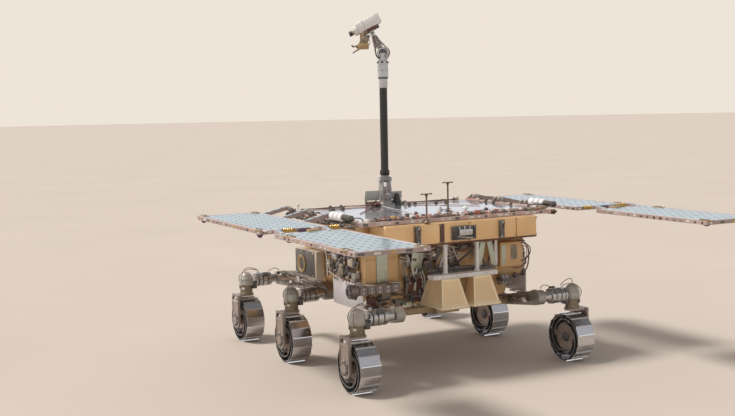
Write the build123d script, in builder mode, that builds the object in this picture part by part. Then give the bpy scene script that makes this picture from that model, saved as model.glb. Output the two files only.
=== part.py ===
"""Six-wheeled planetary rover, with its solar wings open and its camera mast up.

Millimetres. +X is forward (the mast end), +Y is the rover's left, +Z is up. The origin is on
the ground under the middle of the overall length. Stations along X are measured from the
middle wheels' axle, and at() turns a station into the frame's X.
"""
import os
from math import cos, radians, sin

from build123d import *

os.makedirs("parts", exist_ok=True)

# Driving dimensions of the running gear
WHEEL_D = 285.0
WHEEL_W = 120.0
WHEEL_FACETS = 16
GROUSER_T = 3.5
TRACK = 1404.0
FRONT_WHEEL = 719.0
REAR_WHEEL = -842.0

# Driving dimensions of the body and the deck
DECK_TOP = 882.0
DECK_THICK = 22.0
DECK_HALF = 650.0
DECK_FRONT = 160.0
DECK_REAR = -755.0
BODY_HALF = 545.0
BODY_REAR = -600.0
BODY_FLOOR = 480.0
TUB_HALF = 420.0
TUB_FRONT = 400.0
TUB_FLOOR = 375.0

# Driving dimensions of the solar wings
WING_THICK = 20.0
WING_INNER = 820.0
WING_OUTER = 1195.0
WING_FRONT = 220.0
WING_JOINT = -835.0
WING_JOINT_ARM = 90.0
WING_TAIL = -1775.0
WING_PIVOT_Y = 670.0
WING_PIVOT_RISE = 25.5
TAIL_PIVOT_RISE = 4.0

# Driving dimensions of the mast and its head
MAST_X = 110.0
MAST_PIVOT_Z = 1045.0
MAST_R = 24.0
MAST_TUBE_TOP = 1615.0
MAST_TOP = 1780.0
NECK_REACH = 61.0
LOOK_AZIMUTH = 62.0
LOOK_DOWN = 27.0

# Clearances
RUNNING = 0.1
SEAT = 0.3
SIDE_PLAY = 0.5

# Sizes that follow from the driving dimensions
TIP_R = WHEEL_D / 2
HALF_FACET = 180 / WHEEL_FACETS
AXLE_Z = TIP_R * cos(radians(HALF_FACET)) + GROUSER_T / 2 * sin(radians(HALF_FACET))
MID_X = -(FRONT_WHEEL + AXLE_Z + WING_TAIL) / 2
BODY_TOP = DECK_TOP - DECK_THICK
WING_TOP = DECK_TOP
WING_PIVOT_Z = DECK_TOP + WING_PIVOT_RISE
TAIL_PIVOT_Z = WING_TOP + TAIL_PIVOT_RISE
TILT_Z = MAST_TOP + 170.0

SIDES = (("left", 1), ("right", -1))
WHEELS = (  # name, station of the axle, side
    ("front_left", FRONT_WHEEL, 1),
    ("front_right", FRONT_WHEEL, -1),
    ("middle_left", 0.0, 1),
    ("middle_right", 0.0, -1),
    ("rear_left", REAR_WHEEL, 1),
    ("rear_right", REAR_WHEEL, -1),
)


def at(station):
    """X of a station that is measured from the middle wheels' axle."""
    return MID_X + station


def side_plane(station, y, z=0.0):
    """A vertical plane at y, its x along X and its y along Z, that extrudes towards -Y."""
    return Plane(origin=(at(station), y, z), x_dir=(1, 0, 0), z_dir=(0, -1, 0))


def cross_plane(station, y=0.0, z=0.0):
    """A vertical plane across the rover, its x along Y and its y along Z, that extrudes forward."""
    return Plane(origin=(at(station), y, z), x_dir=(0, 1, 0), z_dir=(1, 0, 0))


def save(builder, name):
    builder.part.label = name
    export_step(builder.part, f"parts/{name}.step")


def polar(radius, angle):
    return (radius * cos(radians(angle)), radius * sin(radians(angle)))


# Wheels: a band of flat metal facets with a grouser bar at each corner. Curved leaf springs
# join the band to a drum that holds the drive motor, so the whole wheel flexes.
GROUSER_H = 5.5
BAND_T = 3.0
HUB_R = 81.0
HUB_HALF = 45.0
HUB_WALL = 6.0
HUB_DISH = 14.0
BOSS_R = 30.0
SPINDLE_R = 20.0
SPINDLE_DEPTH = 62.0
LEAF_COUNT = 4
LEAF_T = 3.0
LEAF_SWEEP = 180.0
LEAF_STEPS = 8
LEAF_W = 34.0
FORK_T = 12.0
FORK_GAP = 12.0
FORK_HALF_W = 55.0
FORK_TOP_T = 12.0
BAND_R = TIP_R - GROUSER_H
BAND_MID_R = (BAND_R - BAND_T / 2) * cos(radians(HALF_FACET))
LEAF_FOOT_R = HUB_R - 2.0
FORK_Y = TRACK / 2 + WHEEL_W / 2 + FORK_GAP
FORK_TOP_Z = AXLE_Z + TIP_R + FORK_GAP + FORK_TOP_T


def leaf_point(step, start, hand, offset):
    """A corner of a leaf spring, which spirals out from the drum to the band in short flats."""
    share = step / LEAF_STEPS
    radius = LEAF_FOOT_R + share * (BAND_MID_R - LEAF_FOOT_R)
    return polar(radius + offset, start + hand * share * LEAF_SWEEP)


for name, station, side in WHEELS:
    wheel_y = side * TRACK / 2
    axle = Axis((at(station), wheel_y, AXLE_Z), (0, side, 0))
    with BuildPart() as wheel:
        with BuildSketch(side_plane(station, wheel_y + WHEEL_W / 2, AXLE_Z)):
            RegularPolygon(BAND_R, WHEEL_FACETS, rotation=HALF_FACET)
            RegularPolygon(BAND_R - BAND_T, WHEEL_FACETS, rotation=HALF_FACET, mode=Mode.SUBTRACT)
            grouser_length = GROUSER_H + BAND_T
            with PolarLocations(TIP_R - grouser_length / 2, WHEEL_FACETS, start_angle=HALF_FACET):
                Rectangle(grouser_length, GROUSER_T)
        extrude(amount=WHEEL_W)
        for row in (1, -1):
            leaf_y = wheel_y + (row * (WHEEL_W - LEAF_W) + LEAF_W) / 2
            with BuildSketch(side_plane(station, leaf_y, AXLE_Z)):
                for leaf in range(LEAF_COUNT):
                    start = leaf * 360 / LEAF_COUNT
                    with BuildLine():
                        Polyline(
                            *[leaf_point(step, start, row, LEAF_T / 2) for step in range(LEAF_STEPS + 1)],
                            *[leaf_point(step, start, row, -LEAF_T / 2) for step in range(LEAF_STEPS, -1, -1)],
                            close=True,
                        )
                    make_face()
            extrude(amount=LEAF_W)
        # The drum, dished on its faces, with its outboard boss and the bore for the spindle
        with BuildSketch(Plane(origin=(at(station), wheel_y, AXLE_Z), x_dir=(0, side, 0), z_dir=(1, 0, 0))):
            with BuildLine():
                Polyline(
                    (-HUB_HALF + HUB_DISH / 2, 0),
                    (-HUB_HALF, HUB_R - HUB_WALL),
                    (-HUB_HALF, HUB_R),
                    (HUB_HALF, HUB_R),
                    (HUB_HALF, HUB_R - HUB_WALL),
                    (HUB_HALF - HUB_DISH, HUB_R - HUB_WALL - HUB_DISH / 2),
                    (HUB_HALF - HUB_DISH, BOSS_R),
                    (WHEEL_W / 2 + FORK_GAP - SEAT, BOSS_R),
                    (WHEEL_W / 2 + FORK_GAP - SEAT, 0),
                    close=True,
                )
            make_face()
        revolve(axis=axle)
        with BuildSketch(side_plane(station, side * (FORK_Y - SEAT), AXLE_Z)):
            Circle(SPINDLE_R + RUNNING)
        extrude(amount=side * (SPINDLE_DEPTH + SEAT), mode=Mode.SUBTRACT)
    save(wheel, f"wheel_{name}")

# Steering forks: one flat leg outboard of each wheel, its foot round the hub, and a top plate
# that turns under the steering actuator.
STEER_R = 42.0
for name, station, side in WHEELS:
    wheel_y = side * TRACK / 2
    with BuildPart() as fork:
        with BuildSketch(side_plane(station, side * FORK_Y)) as leg:
            with Locations((0, AXLE_Z)):
                Circle(FORK_HALF_W)
            with Locations((0, (AXLE_Z + FORK_TOP_Z) / 2)):
                Rectangle(2 * FORK_HALF_W, FORK_TOP_Z - AXLE_Z)
        extrude(amount=-side * FORK_T)
        with BuildSketch(Plane.XY.offset(FORK_TOP_Z - FORK_TOP_T)):
            with Locations((at(station), wheel_y)):
                Circle(STEER_R)
            with Locations((at(station), (wheel_y + side * (FORK_Y + FORK_T)) / 2)):
                Rectangle(2 * STEER_R, FORK_Y + FORK_T - TRACK / 2)
        extrude(amount=FORK_TOP_T)
        with BuildSketch(side_plane(station, side * FORK_Y, AXLE_Z)):
            Circle(SPINDLE_R)
        extrude(amount=side * (SPINDLE_DEPTH - SEAT))
        with BuildSketch(side_plane(station, side * (FORK_Y + FORK_T), AXLE_Z)):
            Circle(26.0)
        extrude(amount=-side * 8.0)
    save(fork, f"steering_fork_{name}")

# Leg actuators: the domed steering actuator that stands on the fork, and the deployment
# actuator, a barrel that lies along Y between it and the bogie.
LEG_Z = 390.0
DOME_R = 46.5
STEER_BODY_H = 60.0
DOME_STRAIGHT = 40.0
DOME_TOP = 450.0
CROWN_ANGLES = (0, 30, 55, 75)
LEG_PAD = 16.0
LEG_PAD_W = 62.0
LEG_ACTUATOR_R = 44.0
LEG_NECK_R = 29.0
BOGIE_INNER = 440.0
BOGIE_OUTER = 490.0
STEER_BASE = FORK_TOP_Z + SEAT
for name, station, side in WHEELS:
    wheel_y = side * TRACK / 2
    barrel_out = TRACK / 2 - STEER_R - LEG_PAD
    barrel_in = BOGIE_OUTER + 30
    with BuildPart() as leg:
        with BuildSketch(side_plane(station, wheel_y)):
            with BuildLine():
                dome_base = STEER_BASE + STEER_BODY_H
                crown_base = dome_base + DOME_STRAIGHT
                Polyline(
                    (0, STEER_BASE),
                    (STEER_R, STEER_BASE),
                    (STEER_R, dome_base),
                    (DOME_R, dome_base),
                    *[
                        (DOME_R * cos(radians(angle)), crown_base + (DOME_TOP - crown_base) * sin(radians(angle)))
                        for angle in CROWN_ANGLES
                    ],
                    (0, DOME_TOP),
                    close=True,
                )
            make_face()
        revolve(axis=Axis((at(station), wheel_y, 0), (0, 0, 1)))
        with BuildSketch(Plane.XY.offset(STEER_BASE + 20)):
            with Locations((at(station), side * (TRACK / 2 - (STEER_R + LEG_PAD) / 2))):
                Rectangle(LEG_PAD_W, STEER_R + LEG_PAD)
        extrude(amount=dome_base + DOME_STRAIGHT - STEER_BASE - 24)
        for y_out, y_in, radius in (  # outer end, inner end, radius
            (barrel_out, barrel_in, LEG_ACTUATOR_R),
            (barrel_in, BOGIE_OUTER, LEG_NECK_R),
        ):
            with BuildSketch(side_plane(station, side * y_out, LEG_Z)):
                Circle(radius)
            extrude(amount=side * (y_out - y_in))
    save(leg, f"leg_actuators_{name}")

# Side bogies: a beam on each side from the middle leg to the front leg, hung at its pivot
PIVOT_STATION = FRONT_WHEEL / 2
PIVOT_Z = 425.0
BOGIE_END_R = 42.0
BOGIE_PIVOT_R = 55.0
for side_name, side in SIDES:
    with BuildPart() as bogie:
        for end_station in (0.0, FRONT_WHEEL):
            with BuildSketch(side_plane(0, side * BOGIE_OUTER)):
                with Locations((end_station, LEG_Z)):
                    Circle(BOGIE_END_R)
                with Locations((PIVOT_STATION, PIVOT_Z)):
                    Circle(BOGIE_PIVOT_R)
                make_hull()
            extrude(amount=side * (BOGIE_OUTER - BOGIE_INNER))
        with BuildSketch(side_plane(PIVOT_STATION, side * BOGIE_INNER, PIVOT_Z)):
            Circle(38.0)
        extrude(amount=side * (BOGIE_INNER - TUB_HALF))
        with BuildSketch(side_plane(PIVOT_STATION, side * BOGIE_OUTER, PIVOT_Z)):
            Circle(34.0)
        extrude(amount=-side * 12.0)
    save(bogie, f"side_bogie_{side_name}")

# Rear bogie: a beam across the back of the tub, carried at its centre by a plate on the rear
# wall, and a trailing arm to each rear leg.
REAR_BEAM_STATION = BODY_REAR + 60
REAR_BEAM_TOP = TUB_FLOOR - 14
REAR_BEAM_H = 44.0
REAR_BEAM_W = 60.0
BEAM_PLATE_T = 12.0
BEAM_PLATE_W = 150.0
BEAM_PLATE_TOP = 440.0
with BuildPart() as rear_beam:
    with BuildSketch(Plane.XY.offset(REAR_BEAM_TOP - REAR_BEAM_H)):
        with Locations((at(REAR_BEAM_STATION), 0)):
            Rectangle(REAR_BEAM_W, 2 * BOGIE_INNER)
    extrude(amount=REAR_BEAM_H)
    chamfer(rear_beam.edges().filter_by(Axis.Y), 8)
    with BuildSketch(cross_plane(BODY_REAR - BEAM_PLATE_T, 0, (REAR_BEAM_TOP - REAR_BEAM_H + BEAM_PLATE_TOP) / 2)):
        Rectangle(BEAM_PLATE_W, BEAM_PLATE_TOP - REAR_BEAM_TOP + REAR_BEAM_H)
    extrude(amount=BEAM_PLATE_T)
    with BuildSketch(cross_plane(BODY_REAR, 0, REAR_BEAM_TOP - REAR_BEAM_H / 2)):
        Rectangle(BEAM_PLATE_W, REAR_BEAM_H - 16)
    extrude(amount=REAR_BEAM_STATION - BODY_REAR)
save(rear_beam, "rear_bogie_beam")

for side_name, side in SIDES:
    with BuildPart() as arm:
        with BuildSketch(side_plane(0, side * BOGIE_OUTER)):
            with Locations((REAR_WHEEL, LEG_Z)):
                Circle(BOGIE_END_R)
            with Locations((REAR_BEAM_STATION, REAR_BEAM_TOP - REAR_BEAM_H / 2)):
                Circle(REAR_BEAM_W / 2)
            make_hull()
        extrude(amount=side * (BOGIE_OUTER - BOGIE_INNER))
    save(arm, f"rear_bogie_arm_{side_name}")

# Body: the upper part as wide as the wing hinges need, stepped in below to a narrow tub
with BuildPart() as body:
    with BuildSketch(cross_plane(BODY_REAR)):
        with BuildLine():
            Polyline(
                (-BODY_HALF, BODY_TOP),
                (-BODY_HALF, BODY_FLOOR + 30),
                (-BODY_HALF + 30, BODY_FLOOR),
                (-TUB_HALF, BODY_FLOOR),
                (-TUB_HALF, TUB_FLOOR + 25),
                (-TUB_HALF + 25, TUB_FLOOR),
                (TUB_HALF - 25, TUB_FLOOR),
                (TUB_HALF, TUB_FLOOR + 25),
                (TUB_HALF, BODY_FLOOR),
                (BODY_HALF - 30, BODY_FLOOR),
                (BODY_HALF, BODY_FLOOR + 30),
                (BODY_HALF, BODY_TOP),
                close=True,
            )
        make_face()
    extrude(amount=DECK_FRONT - BODY_REAR)
    with BuildSketch(cross_plane(DECK_FRONT)):
        with Locations((0, (TUB_FLOOR + BODY_FLOOR) / 2)):
            Rectangle(2 * TUB_HALF, BODY_FLOOR - TUB_FLOOR)
    extrude(amount=TUB_FRONT - DECK_FRONT)
    chamfer(body.edges().filter_by(Axis.Y).sort_by(Axis.X)[-2:], 20)
save(body, "body_tub")

# Deck panel, over the body and out to the wing hinges
with BuildPart() as deck:
    with BuildSketch(Plane.XY.offset(BODY_TOP)):
        with Locations((at((DECK_FRONT + DECK_REAR) / 2), 0)):
            Rectangle(DECK_FRONT - DECK_REAR, 2 * DECK_HALF)
    extrude(amount=DECK_THICK)
    chamfer(deck.edges().filter_by(Axis.Z), 30)
save(deck, "deck_panel")

# Service box: the long gold-blanketed housing under the rear edge of the deck
SERVICE_REAR = -780.0
SERVICE_FLOOR = 735.0
SERVICE_HALF = 500.0
with BuildPart() as service:
    with BuildSketch(Plane.XY.offset(SERVICE_FLOOR)):
        with Locations((at((SERVICE_REAR + BODY_REAR) / 2), 0)):
            Rectangle(BODY_REAR - SERVICE_REAR, 2 * SERVICE_HALF)
    extrude(amount=BODY_TOP - SERVICE_FLOOR)
    fillet(service.edges().filter_by(Axis.Y).group_by(Axis.X)[0], 12)
save(service, "service_box")

# Hold-down brackets on the service box, and the mechanism between them
BRACKET_YS = (300.0, -250.0)
with BuildPart() as brackets:
    for bracket_y in BRACKET_YS:
        with BuildSketch(Plane.XY.offset(SERVICE_FLOOR + 14)):
            with Locations((at(SERVICE_REAR - 11), bracket_y)):
                Rectangle(22, 34)
        extrude(amount=BODY_TOP - SERVICE_FLOOR - 28)
save(brackets, "hold_down_brackets")

MECHANISM_Z = 792.0
with BuildPart() as mechanism:
    for standoff, width, height, corner, thick in (  # distance from the box, size, corner, thickness
        (0.0, 160, 78, 12, 8),
        (8.0, 90, 48, 6, 18),
    ):
        with BuildSketch(cross_plane(SERVICE_REAR - standoff - thick, 0, MECHANISM_Z)):
            RectangleRounded(width, height, corner)
        extrude(amount=thick)
save(mechanism, "rear_mechanism")

# Drill box, carried across the front of the body
DRILL_FRONT = 400.0
DRILL_FLOOR = 660.0
DRILL_LEFT = 150.0
DRILL_RIGHT = -690.0
with BuildPart() as drill_box:
    with BuildSketch(Plane.XY.offset(DRILL_FLOOR)):
        with Locations((at((DECK_FRONT + DRILL_FRONT) / 2), (DRILL_LEFT + DRILL_RIGHT) / 2)):
            Rectangle(DRILL_FRONT - DECK_FRONT, DRILL_LEFT - DRILL_RIGHT)
    extrude(amount=BODY_TOP - DRILL_FLOOR)
    fillet(drill_box.edges().filter_by(Axis.Y).group_by(Axis.X)[-1], 25)
save(drill_box, "drill_box")

# Radar antenna: two flared horns that look down behind the body, under one bar
HORN_Y = 105.0
HORN_STATION = -735.0
HORN_FLOOR = 385.0
HORN_TOP = 545.0
HORN_MOUTH = (230.0, 170.0)
HORN_THROAT = (140.0, 115.0)
LIP_H = 14.0
LIP_OUT = 6.0
HORN_WALL = 7.0
BAR_STATION = -800.0
BAR_TOP = HORN_TOP + 22
BAR_HALF = 212.0
STRUT_YS = (110.0, -100.0)
for side_name, side in SIDES:
    with BuildPart() as horn:
        with BuildSketch(Plane.XY.offset(HORN_FLOOR + LIP_H)):
            with Locations((at(HORN_STATION), side * HORN_Y)):
                Rectangle(*HORN_MOUTH)
        with BuildSketch(Plane.XY.offset(HORN_TOP)):
            with Locations((at(HORN_STATION), side * HORN_Y)):
                Rectangle(*HORN_THROAT)
        loft(ruled=True)
        with BuildSketch(Plane.XY.offset(HORN_FLOOR)):
            with Locations((at(HORN_STATION), side * HORN_Y)):
                Rectangle(HORN_MOUTH[0] + 2 * LIP_OUT, HORN_MOUTH[1] + 2 * LIP_OUT)
        extrude(amount=LIP_H)
        with BuildSketch(Plane.XY.offset(HORN_FLOOR)):
            with Locations((at(HORN_STATION), side * HORN_Y)):
                Rectangle(HORN_MOUTH[0] - 2 * HORN_WALL, HORN_MOUTH[1] - 2 * HORN_WALL)
        with BuildSketch(Plane.XY.offset(HORN_TOP - 2 * HORN_WALL)):
            with Locations((at(HORN_STATION), side * HORN_Y)):
                Rectangle(HORN_THROAT[0] - 2 * HORN_WALL, HORN_THROAT[1] - 2 * HORN_WALL)
        loft(ruled=True, mode=Mode.SUBTRACT)
    save(horn, f"radar_horn_{side_name}")

with BuildPart() as antenna_bar:
    with BuildSketch(Plane.XY.offset(HORN_TOP)):
        with Locations((at(BAR_STATION + 30), 0)):
            Rectangle(60, 2 * BAR_HALF)
    extrude(amount=BAR_TOP - HORN_TOP)
    for strut_y in STRUT_YS:
        with BuildSketch(Plane.XY.offset(BAR_TOP)):
            with Locations((at(BAR_STATION + 40), strut_y)):
                Rectangle(18, 18)
        extrude(amount=SERVICE_FLOOR - BAR_TOP)
save(antenna_bar, "antenna_bar")

# Housings on the rear wall: the blanketed panel at the left and the box at the right
PANEL_Y = 435.0
PANEL_Z = 612.0
PANEL_W = 210.0
PANEL_H = 175.0
PANEL_T = 22.0
COVER_W = 70.0
COVER_H = 165.0
COVER_T = 6.0
with BuildPart() as rear_panel:
    for standoff, width, height, thick in (  # distance from the wall, width, height, thickness
        (0.0, PANEL_W, PANEL_H, PANEL_T),
        (PANEL_T, COVER_W, COVER_H, COVER_T),
    ):
        with BuildSketch(cross_plane(BODY_REAR - standoff - thick, PANEL_Y, PANEL_Z)):
            Rectangle(width, height)
        extrude(amount=thick)
save(rear_panel, "rear_wall_panel")

REAR_BOX_Y = -385.0
REAR_BOX_Z = 630.0
REAR_BOX_W = 150.0
REAR_BOX_H = 145.0
REAR_BOX_T = 90.0
with BuildPart() as rear_box:
    with BuildSketch(cross_plane(BODY_REAR - REAR_BOX_T, REAR_BOX_Y, REAR_BOX_Z)):
        Rectangle(REAR_BOX_W, REAR_BOX_H)
    extrude(amount=REAR_BOX_T)
    fillet(rear_box.edges().filter_by(Axis.Z).group_by(Axis.X)[0], 10)
save(rear_box, "rear_electronics_box")

# Side instrument box on the left wall, with a round port in a raised ring
PORT_BOX_FRONT = DECK_FRONT
PORT_BOX_REAR = -130.0
PORT_BOX_OUT = 600.0
PORT_Z = 572.0
PORT_STATION = 65.0
with BuildPart() as port_box:
    with BuildSketch(side_plane((PORT_BOX_FRONT + PORT_BOX_REAR) / 2, PORT_BOX_OUT, 580)):
        Rectangle(PORT_BOX_FRONT - PORT_BOX_REAR, 160)
    extrude(amount=PORT_BOX_OUT - BODY_HALF)
    with BuildSketch(side_plane(PORT_STATION, PORT_BOX_OUT, PORT_Z)):
        Circle(55)
    extrude(amount=-12)
    with BuildSketch(side_plane(PORT_STATION, PORT_BOX_OUT + 12, PORT_Z)):
        Circle(30)
    extrude(amount=45, mode=Mode.SUBTRACT)
save(port_box, "side_instrument_box")

# White radiator plates that hang beside the tub, outboard of the bogies
RADIATOR_T = 6.0
RADIATOR_OUT = max(BODY_HALF, BOGIE_OUTER + 10) + RADIATOR_T
RADIATOR_L = 360.0
RADIATOR_H = 145.0
for side_name, side in SIDES:
    with BuildPart() as radiator:
        with BuildSketch(side_plane(-430, side * RADIATOR_OUT, BODY_FLOOR - 28)):
            Rectangle(RADIATOR_L, RADIATOR_H)
        extrude(amount=side * RADIATOR_T)
    save(radiator, f"radiator_plate_{side_name}")

# Lock strut at the left rear corner, with the knuckle that held the leg when stowed
LOCK_STATION = BODY_REAR - 40
LOCK_Z = 500.0
LOCK_DEPTH = 44.0
LOCK_OUT = 640.0
LOCK_IN = 340.0
LOCK_KNUCKLE_R = 38.0
LOCK_BASE_W = 90.0
with BuildPart() as lock:
    with BuildSketch(side_plane(LOCK_STATION, LOCK_OUT, LOCK_Z)):
        Rectangle(LOCK_DEPTH, LOCK_DEPTH)
    extrude(amount=LOCK_OUT - LOCK_IN)
    with BuildSketch(side_plane(LOCK_STATION, LOCK_OUT + 10, LOCK_Z)):
        Circle(LOCK_KNUCKLE_R)
    extrude(amount=40)
    with BuildSketch(cross_plane(LOCK_STATION + 20, LOCK_IN + LOCK_BASE_W / 2 - 5, LOCK_Z)):
        Rectangle(LOCK_BASE_W, LOCK_DEPTH)
    extrude(amount=20)
save(lock, "lock_strut")

# Wing hinges on the deck's edge, and the deployment actuator that turns each wing
HINGE_STATIONS = (110.0, -170.0, -450.0)
KNUCKLE_W = 30.0
LUG_T = 12.0
WING_KNUCKLE_R = 11.0
WING_PIN_R = 5.0
for side_name, side in SIDES:
    with BuildPart() as hinge:
        for station in HINGE_STATIONS:
            for lug in (1, -1):
                lug_station = station + lug * (KNUCKLE_W / 2 + SIDE_PLAY + LUG_T / 2) - LUG_T / 2
                with BuildSketch(cross_plane(lug_station)):
                    with Locations((side * WING_PIVOT_Y, WING_PIVOT_Z)):
                        Circle(WING_KNUCKLE_R)
                    with Locations((side * (DECK_HALF - 18), DECK_TOP + 3)):
                        Rectangle(32, 6)
                    make_hull()
                extrude(amount=LUG_T)
            with BuildSketch(cross_plane(station - KNUCKLE_W / 2 - SIDE_PLAY)):
                with Locations((side * WING_PIVOT_Y, WING_PIVOT_Z)):
                    Circle(WING_PIN_R)
            extrude(amount=KNUCKLE_W + 2 * SIDE_PLAY)
    save(hinge, f"wing_hinge_{side_name}")

    with BuildPart() as wing_actuator:
        for front, rear, radius in ((-500.0, -640.0, 24.0), (-640.0, -740.0, 17.0)):  # ends, radius
            with BuildSketch(cross_plane(rear)):
                with Locations((side * WING_PIVOT_Y, WING_PIVOT_Z)):
                    Circle(radius)
            extrude(amount=front - rear)
        with BuildSketch(Plane.XY.offset(DECK_TOP)):
            with Locations((at(-620), side * (DECK_HALF - 15))):
                Rectangle(60, 30)
        extrude(amount=WING_PIVOT_RISE)
    save(wing_actuator, f"wing_actuator_{side_name}")

# Solar wings: a main panel on arms from the hinge, and a tail panel hinged to its rear edge
WING_MAIN_REAR = WING_JOINT + WING_JOINT_ARM
WING_TAIL_FRONT = WING_JOINT - WING_JOINT_ARM
WING_MID_Y = (WING_INNER + WING_OUTER) / 2
JOINT_YS = (890.0, 1150.0)
TAIL_KNUCKLE_R = 8.0
TAIL_PIN_R = 4.0
for side_name, side in SIDES:
    with BuildPart() as wing:
        with BuildSketch(Plane.XY.offset(WING_TOP - WING_THICK)):
            with Locations((at((WING_FRONT + WING_MAIN_REAR) / 2), side * WING_MID_Y)):
                Rectangle(WING_FRONT - WING_MAIN_REAR, WING_OUTER - WING_INNER)
        extrude(amount=WING_THICK)
        for station in HINGE_STATIONS:
            with BuildSketch(cross_plane(station - KNUCKLE_W / 2)):
                with Locations((side * WING_PIVOT_Y, WING_PIVOT_Z)):
                    Circle(WING_KNUCKLE_R)
                with Locations((side * (WING_INNER + 4), WING_TOP - WING_THICK / 2)):
                    Rectangle(8, WING_THICK)
                make_hull()
                with Locations((side * WING_PIVOT_Y, WING_PIVOT_Z)):
                    Circle(WING_PIN_R + RUNNING, mode=Mode.SUBTRACT)
            extrude(amount=KNUCKLE_W)
        for joint_y in JOINT_YS:
            for lug in (1, -1):
                lug_y = side * joint_y + lug * (KNUCKLE_W / 2 + SIDE_PLAY + LUG_T / 2) + LUG_T / 2
                with BuildSketch(side_plane(0, lug_y)):
                    with Locations((WING_JOINT, TAIL_PIVOT_Z)):
                        Circle(TAIL_KNUCKLE_R)
                    with Locations((WING_MAIN_REAR - 3, WING_TOP - WING_THICK / 2)):
                        Rectangle(10, WING_THICK)
                    make_hull()
                extrude(amount=LUG_T)
            with BuildSketch(side_plane(WING_JOINT, side * joint_y + KNUCKLE_W / 2 + SIDE_PLAY, TAIL_PIVOT_Z)):
                Circle(TAIL_PIN_R)
            extrude(amount=KNUCKLE_W + 2 * SIDE_PLAY)
    save(wing, f"solar_wing_{side_name}")

    with BuildPart() as tail:
        with BuildSketch(Plane.XY.offset(WING_TOP - WING_THICK)):
            with Locations((at((WING_TAIL_FRONT + WING_TAIL) / 2), side * WING_MID_Y)):
                Rectangle(WING_TAIL_FRONT - WING_TAIL, WING_OUTER - WING_INNER)
        extrude(amount=WING_THICK)
        for joint_y in JOINT_YS:
            with BuildSketch(side_plane(0, side * joint_y + KNUCKLE_W / 2)):
                with Locations((WING_JOINT, TAIL_PIVOT_Z)):
                    Circle(TAIL_KNUCKLE_R)
                with Locations((WING_TAIL_FRONT + 3, WING_TOP - WING_THICK / 2)):
                    Rectangle(10, WING_THICK)
                make_hull()
                with Locations((WING_JOINT, TAIL_PIVOT_Z)):
                    Circle(TAIL_PIN_R + RUNNING, mode=Mode.SUBTRACT)
            extrude(amount=KNUCKLE_W)
    save(tail, f"solar_tail_{side_name}")

# Mast base: a block on the deck with the fork and pin that the mast folds about
MAST_KNUCKLE_HALF = 19.5
MAST_KNUCKLE_R = 18.0
MAST_PIN_R = 8.0
MAST_BLOCK = 56.0
with BuildPart() as mast_base:
    with BuildSketch(Plane.XY.offset(DECK_TOP)):
        with Locations((at(MAST_X), 0)):
            Rectangle(MAST_BLOCK + 20, MAST_BLOCK + 40)
    extrude(amount=10)
    with BuildSketch(Plane.XY.offset(DECK_TOP + 10)):
        with Locations((at(MAST_X), 0)):
            Rectangle(MAST_BLOCK, MAST_BLOCK + 6)
    extrude(amount=MAST_PIVOT_Z - 45 - DECK_TOP - 10)
    for lug in (1, -1):
        with BuildSketch(side_plane(MAST_X, lug * (MAST_KNUCKLE_HALF + SIDE_PLAY + 5.5) + 5.5)):
            with Locations((0, MAST_PIVOT_Z)):
                Circle(MAST_KNUCKLE_R)
            with Locations((0, MAST_PIVOT_Z - 50)):
                Rectangle(MAST_BLOCK - 8, 10)
            make_hull()
        extrude(amount=11)
    with BuildSketch(side_plane(MAST_X, MAST_KNUCKLE_HALF + SIDE_PLAY, MAST_PIVOT_Z)):
        Circle(MAST_PIN_R)
    extrude(amount=2 * (MAST_KNUCKLE_HALF + SIDE_PLAY))
save(mast_base, "mast_base")

# Mast: a knuckle and socket, the slender black tube and the wider collar at its top
COLLAR_R = 33.0
SOCKET_R = 30.0
with BuildPart() as mast:
    with BuildSketch(side_plane(MAST_X, MAST_KNUCKLE_HALF)):
        with Locations((0, MAST_PIVOT_Z)):
            Circle(MAST_KNUCKLE_R)
        with Locations((0, MAST_PIVOT_Z + 28)):
            Rectangle(2 * MAST_KNUCKLE_R, 12)
        make_hull()
    extrude(amount=2 * MAST_KNUCKLE_HALF)
    for base, top, radius in (  # lower end, upper end, radius
        (MAST_PIVOT_Z + 28, MAST_PIVOT_Z + 60, SOCKET_R),
        (MAST_PIVOT_Z + 60, MAST_TUBE_TOP, MAST_R),
        (MAST_TUBE_TOP, MAST_TUBE_TOP + 18, SOCKET_R),
        (MAST_TUBE_TOP + 18, MAST_TOP, COLLAR_R),
    ):
        with BuildSketch(Plane.XY.offset(base)):
            with Locations((at(MAST_X), 0)):
                Circle(radius)
        extrude(amount=top - base)
    with BuildSketch(side_plane(MAST_X, MAST_KNUCKLE_HALF, MAST_PIVOT_Z)):
        Circle(MAST_PIN_R + RUNNING)
    extrude(amount=2 * MAST_KNUCKLE_HALF, mode=Mode.SUBTRACT)
save(mast, "mast_tube")

# Head: its planes lie along the way the cameras look, with x along that way and y along Z
LOOK = (cos(radians(LOOK_AZIMUTH)), sin(radians(LOOK_AZIMUTH)), 0)
ACROSS = (LOOK[1], -LOOK[0], 0)


def head_plane(offset, reach=0.0, z=0.0, pitch=0.0):
    """A vertical plane through the mast's axis along the look, moved sideways by offset."""
    origin = (
        at(MAST_X) + ACROSS[0] * offset + LOOK[0] * reach,
        ACROSS[1] * offset + LOOK[1] * reach,
        z,
    )
    down = radians(pitch)
    x_dir = (LOOK[0] * cos(down), LOOK[1] * cos(down), -sin(down))
    return Plane(origin=origin, x_dir=x_dir, z_dir=ACROSS)


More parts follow.
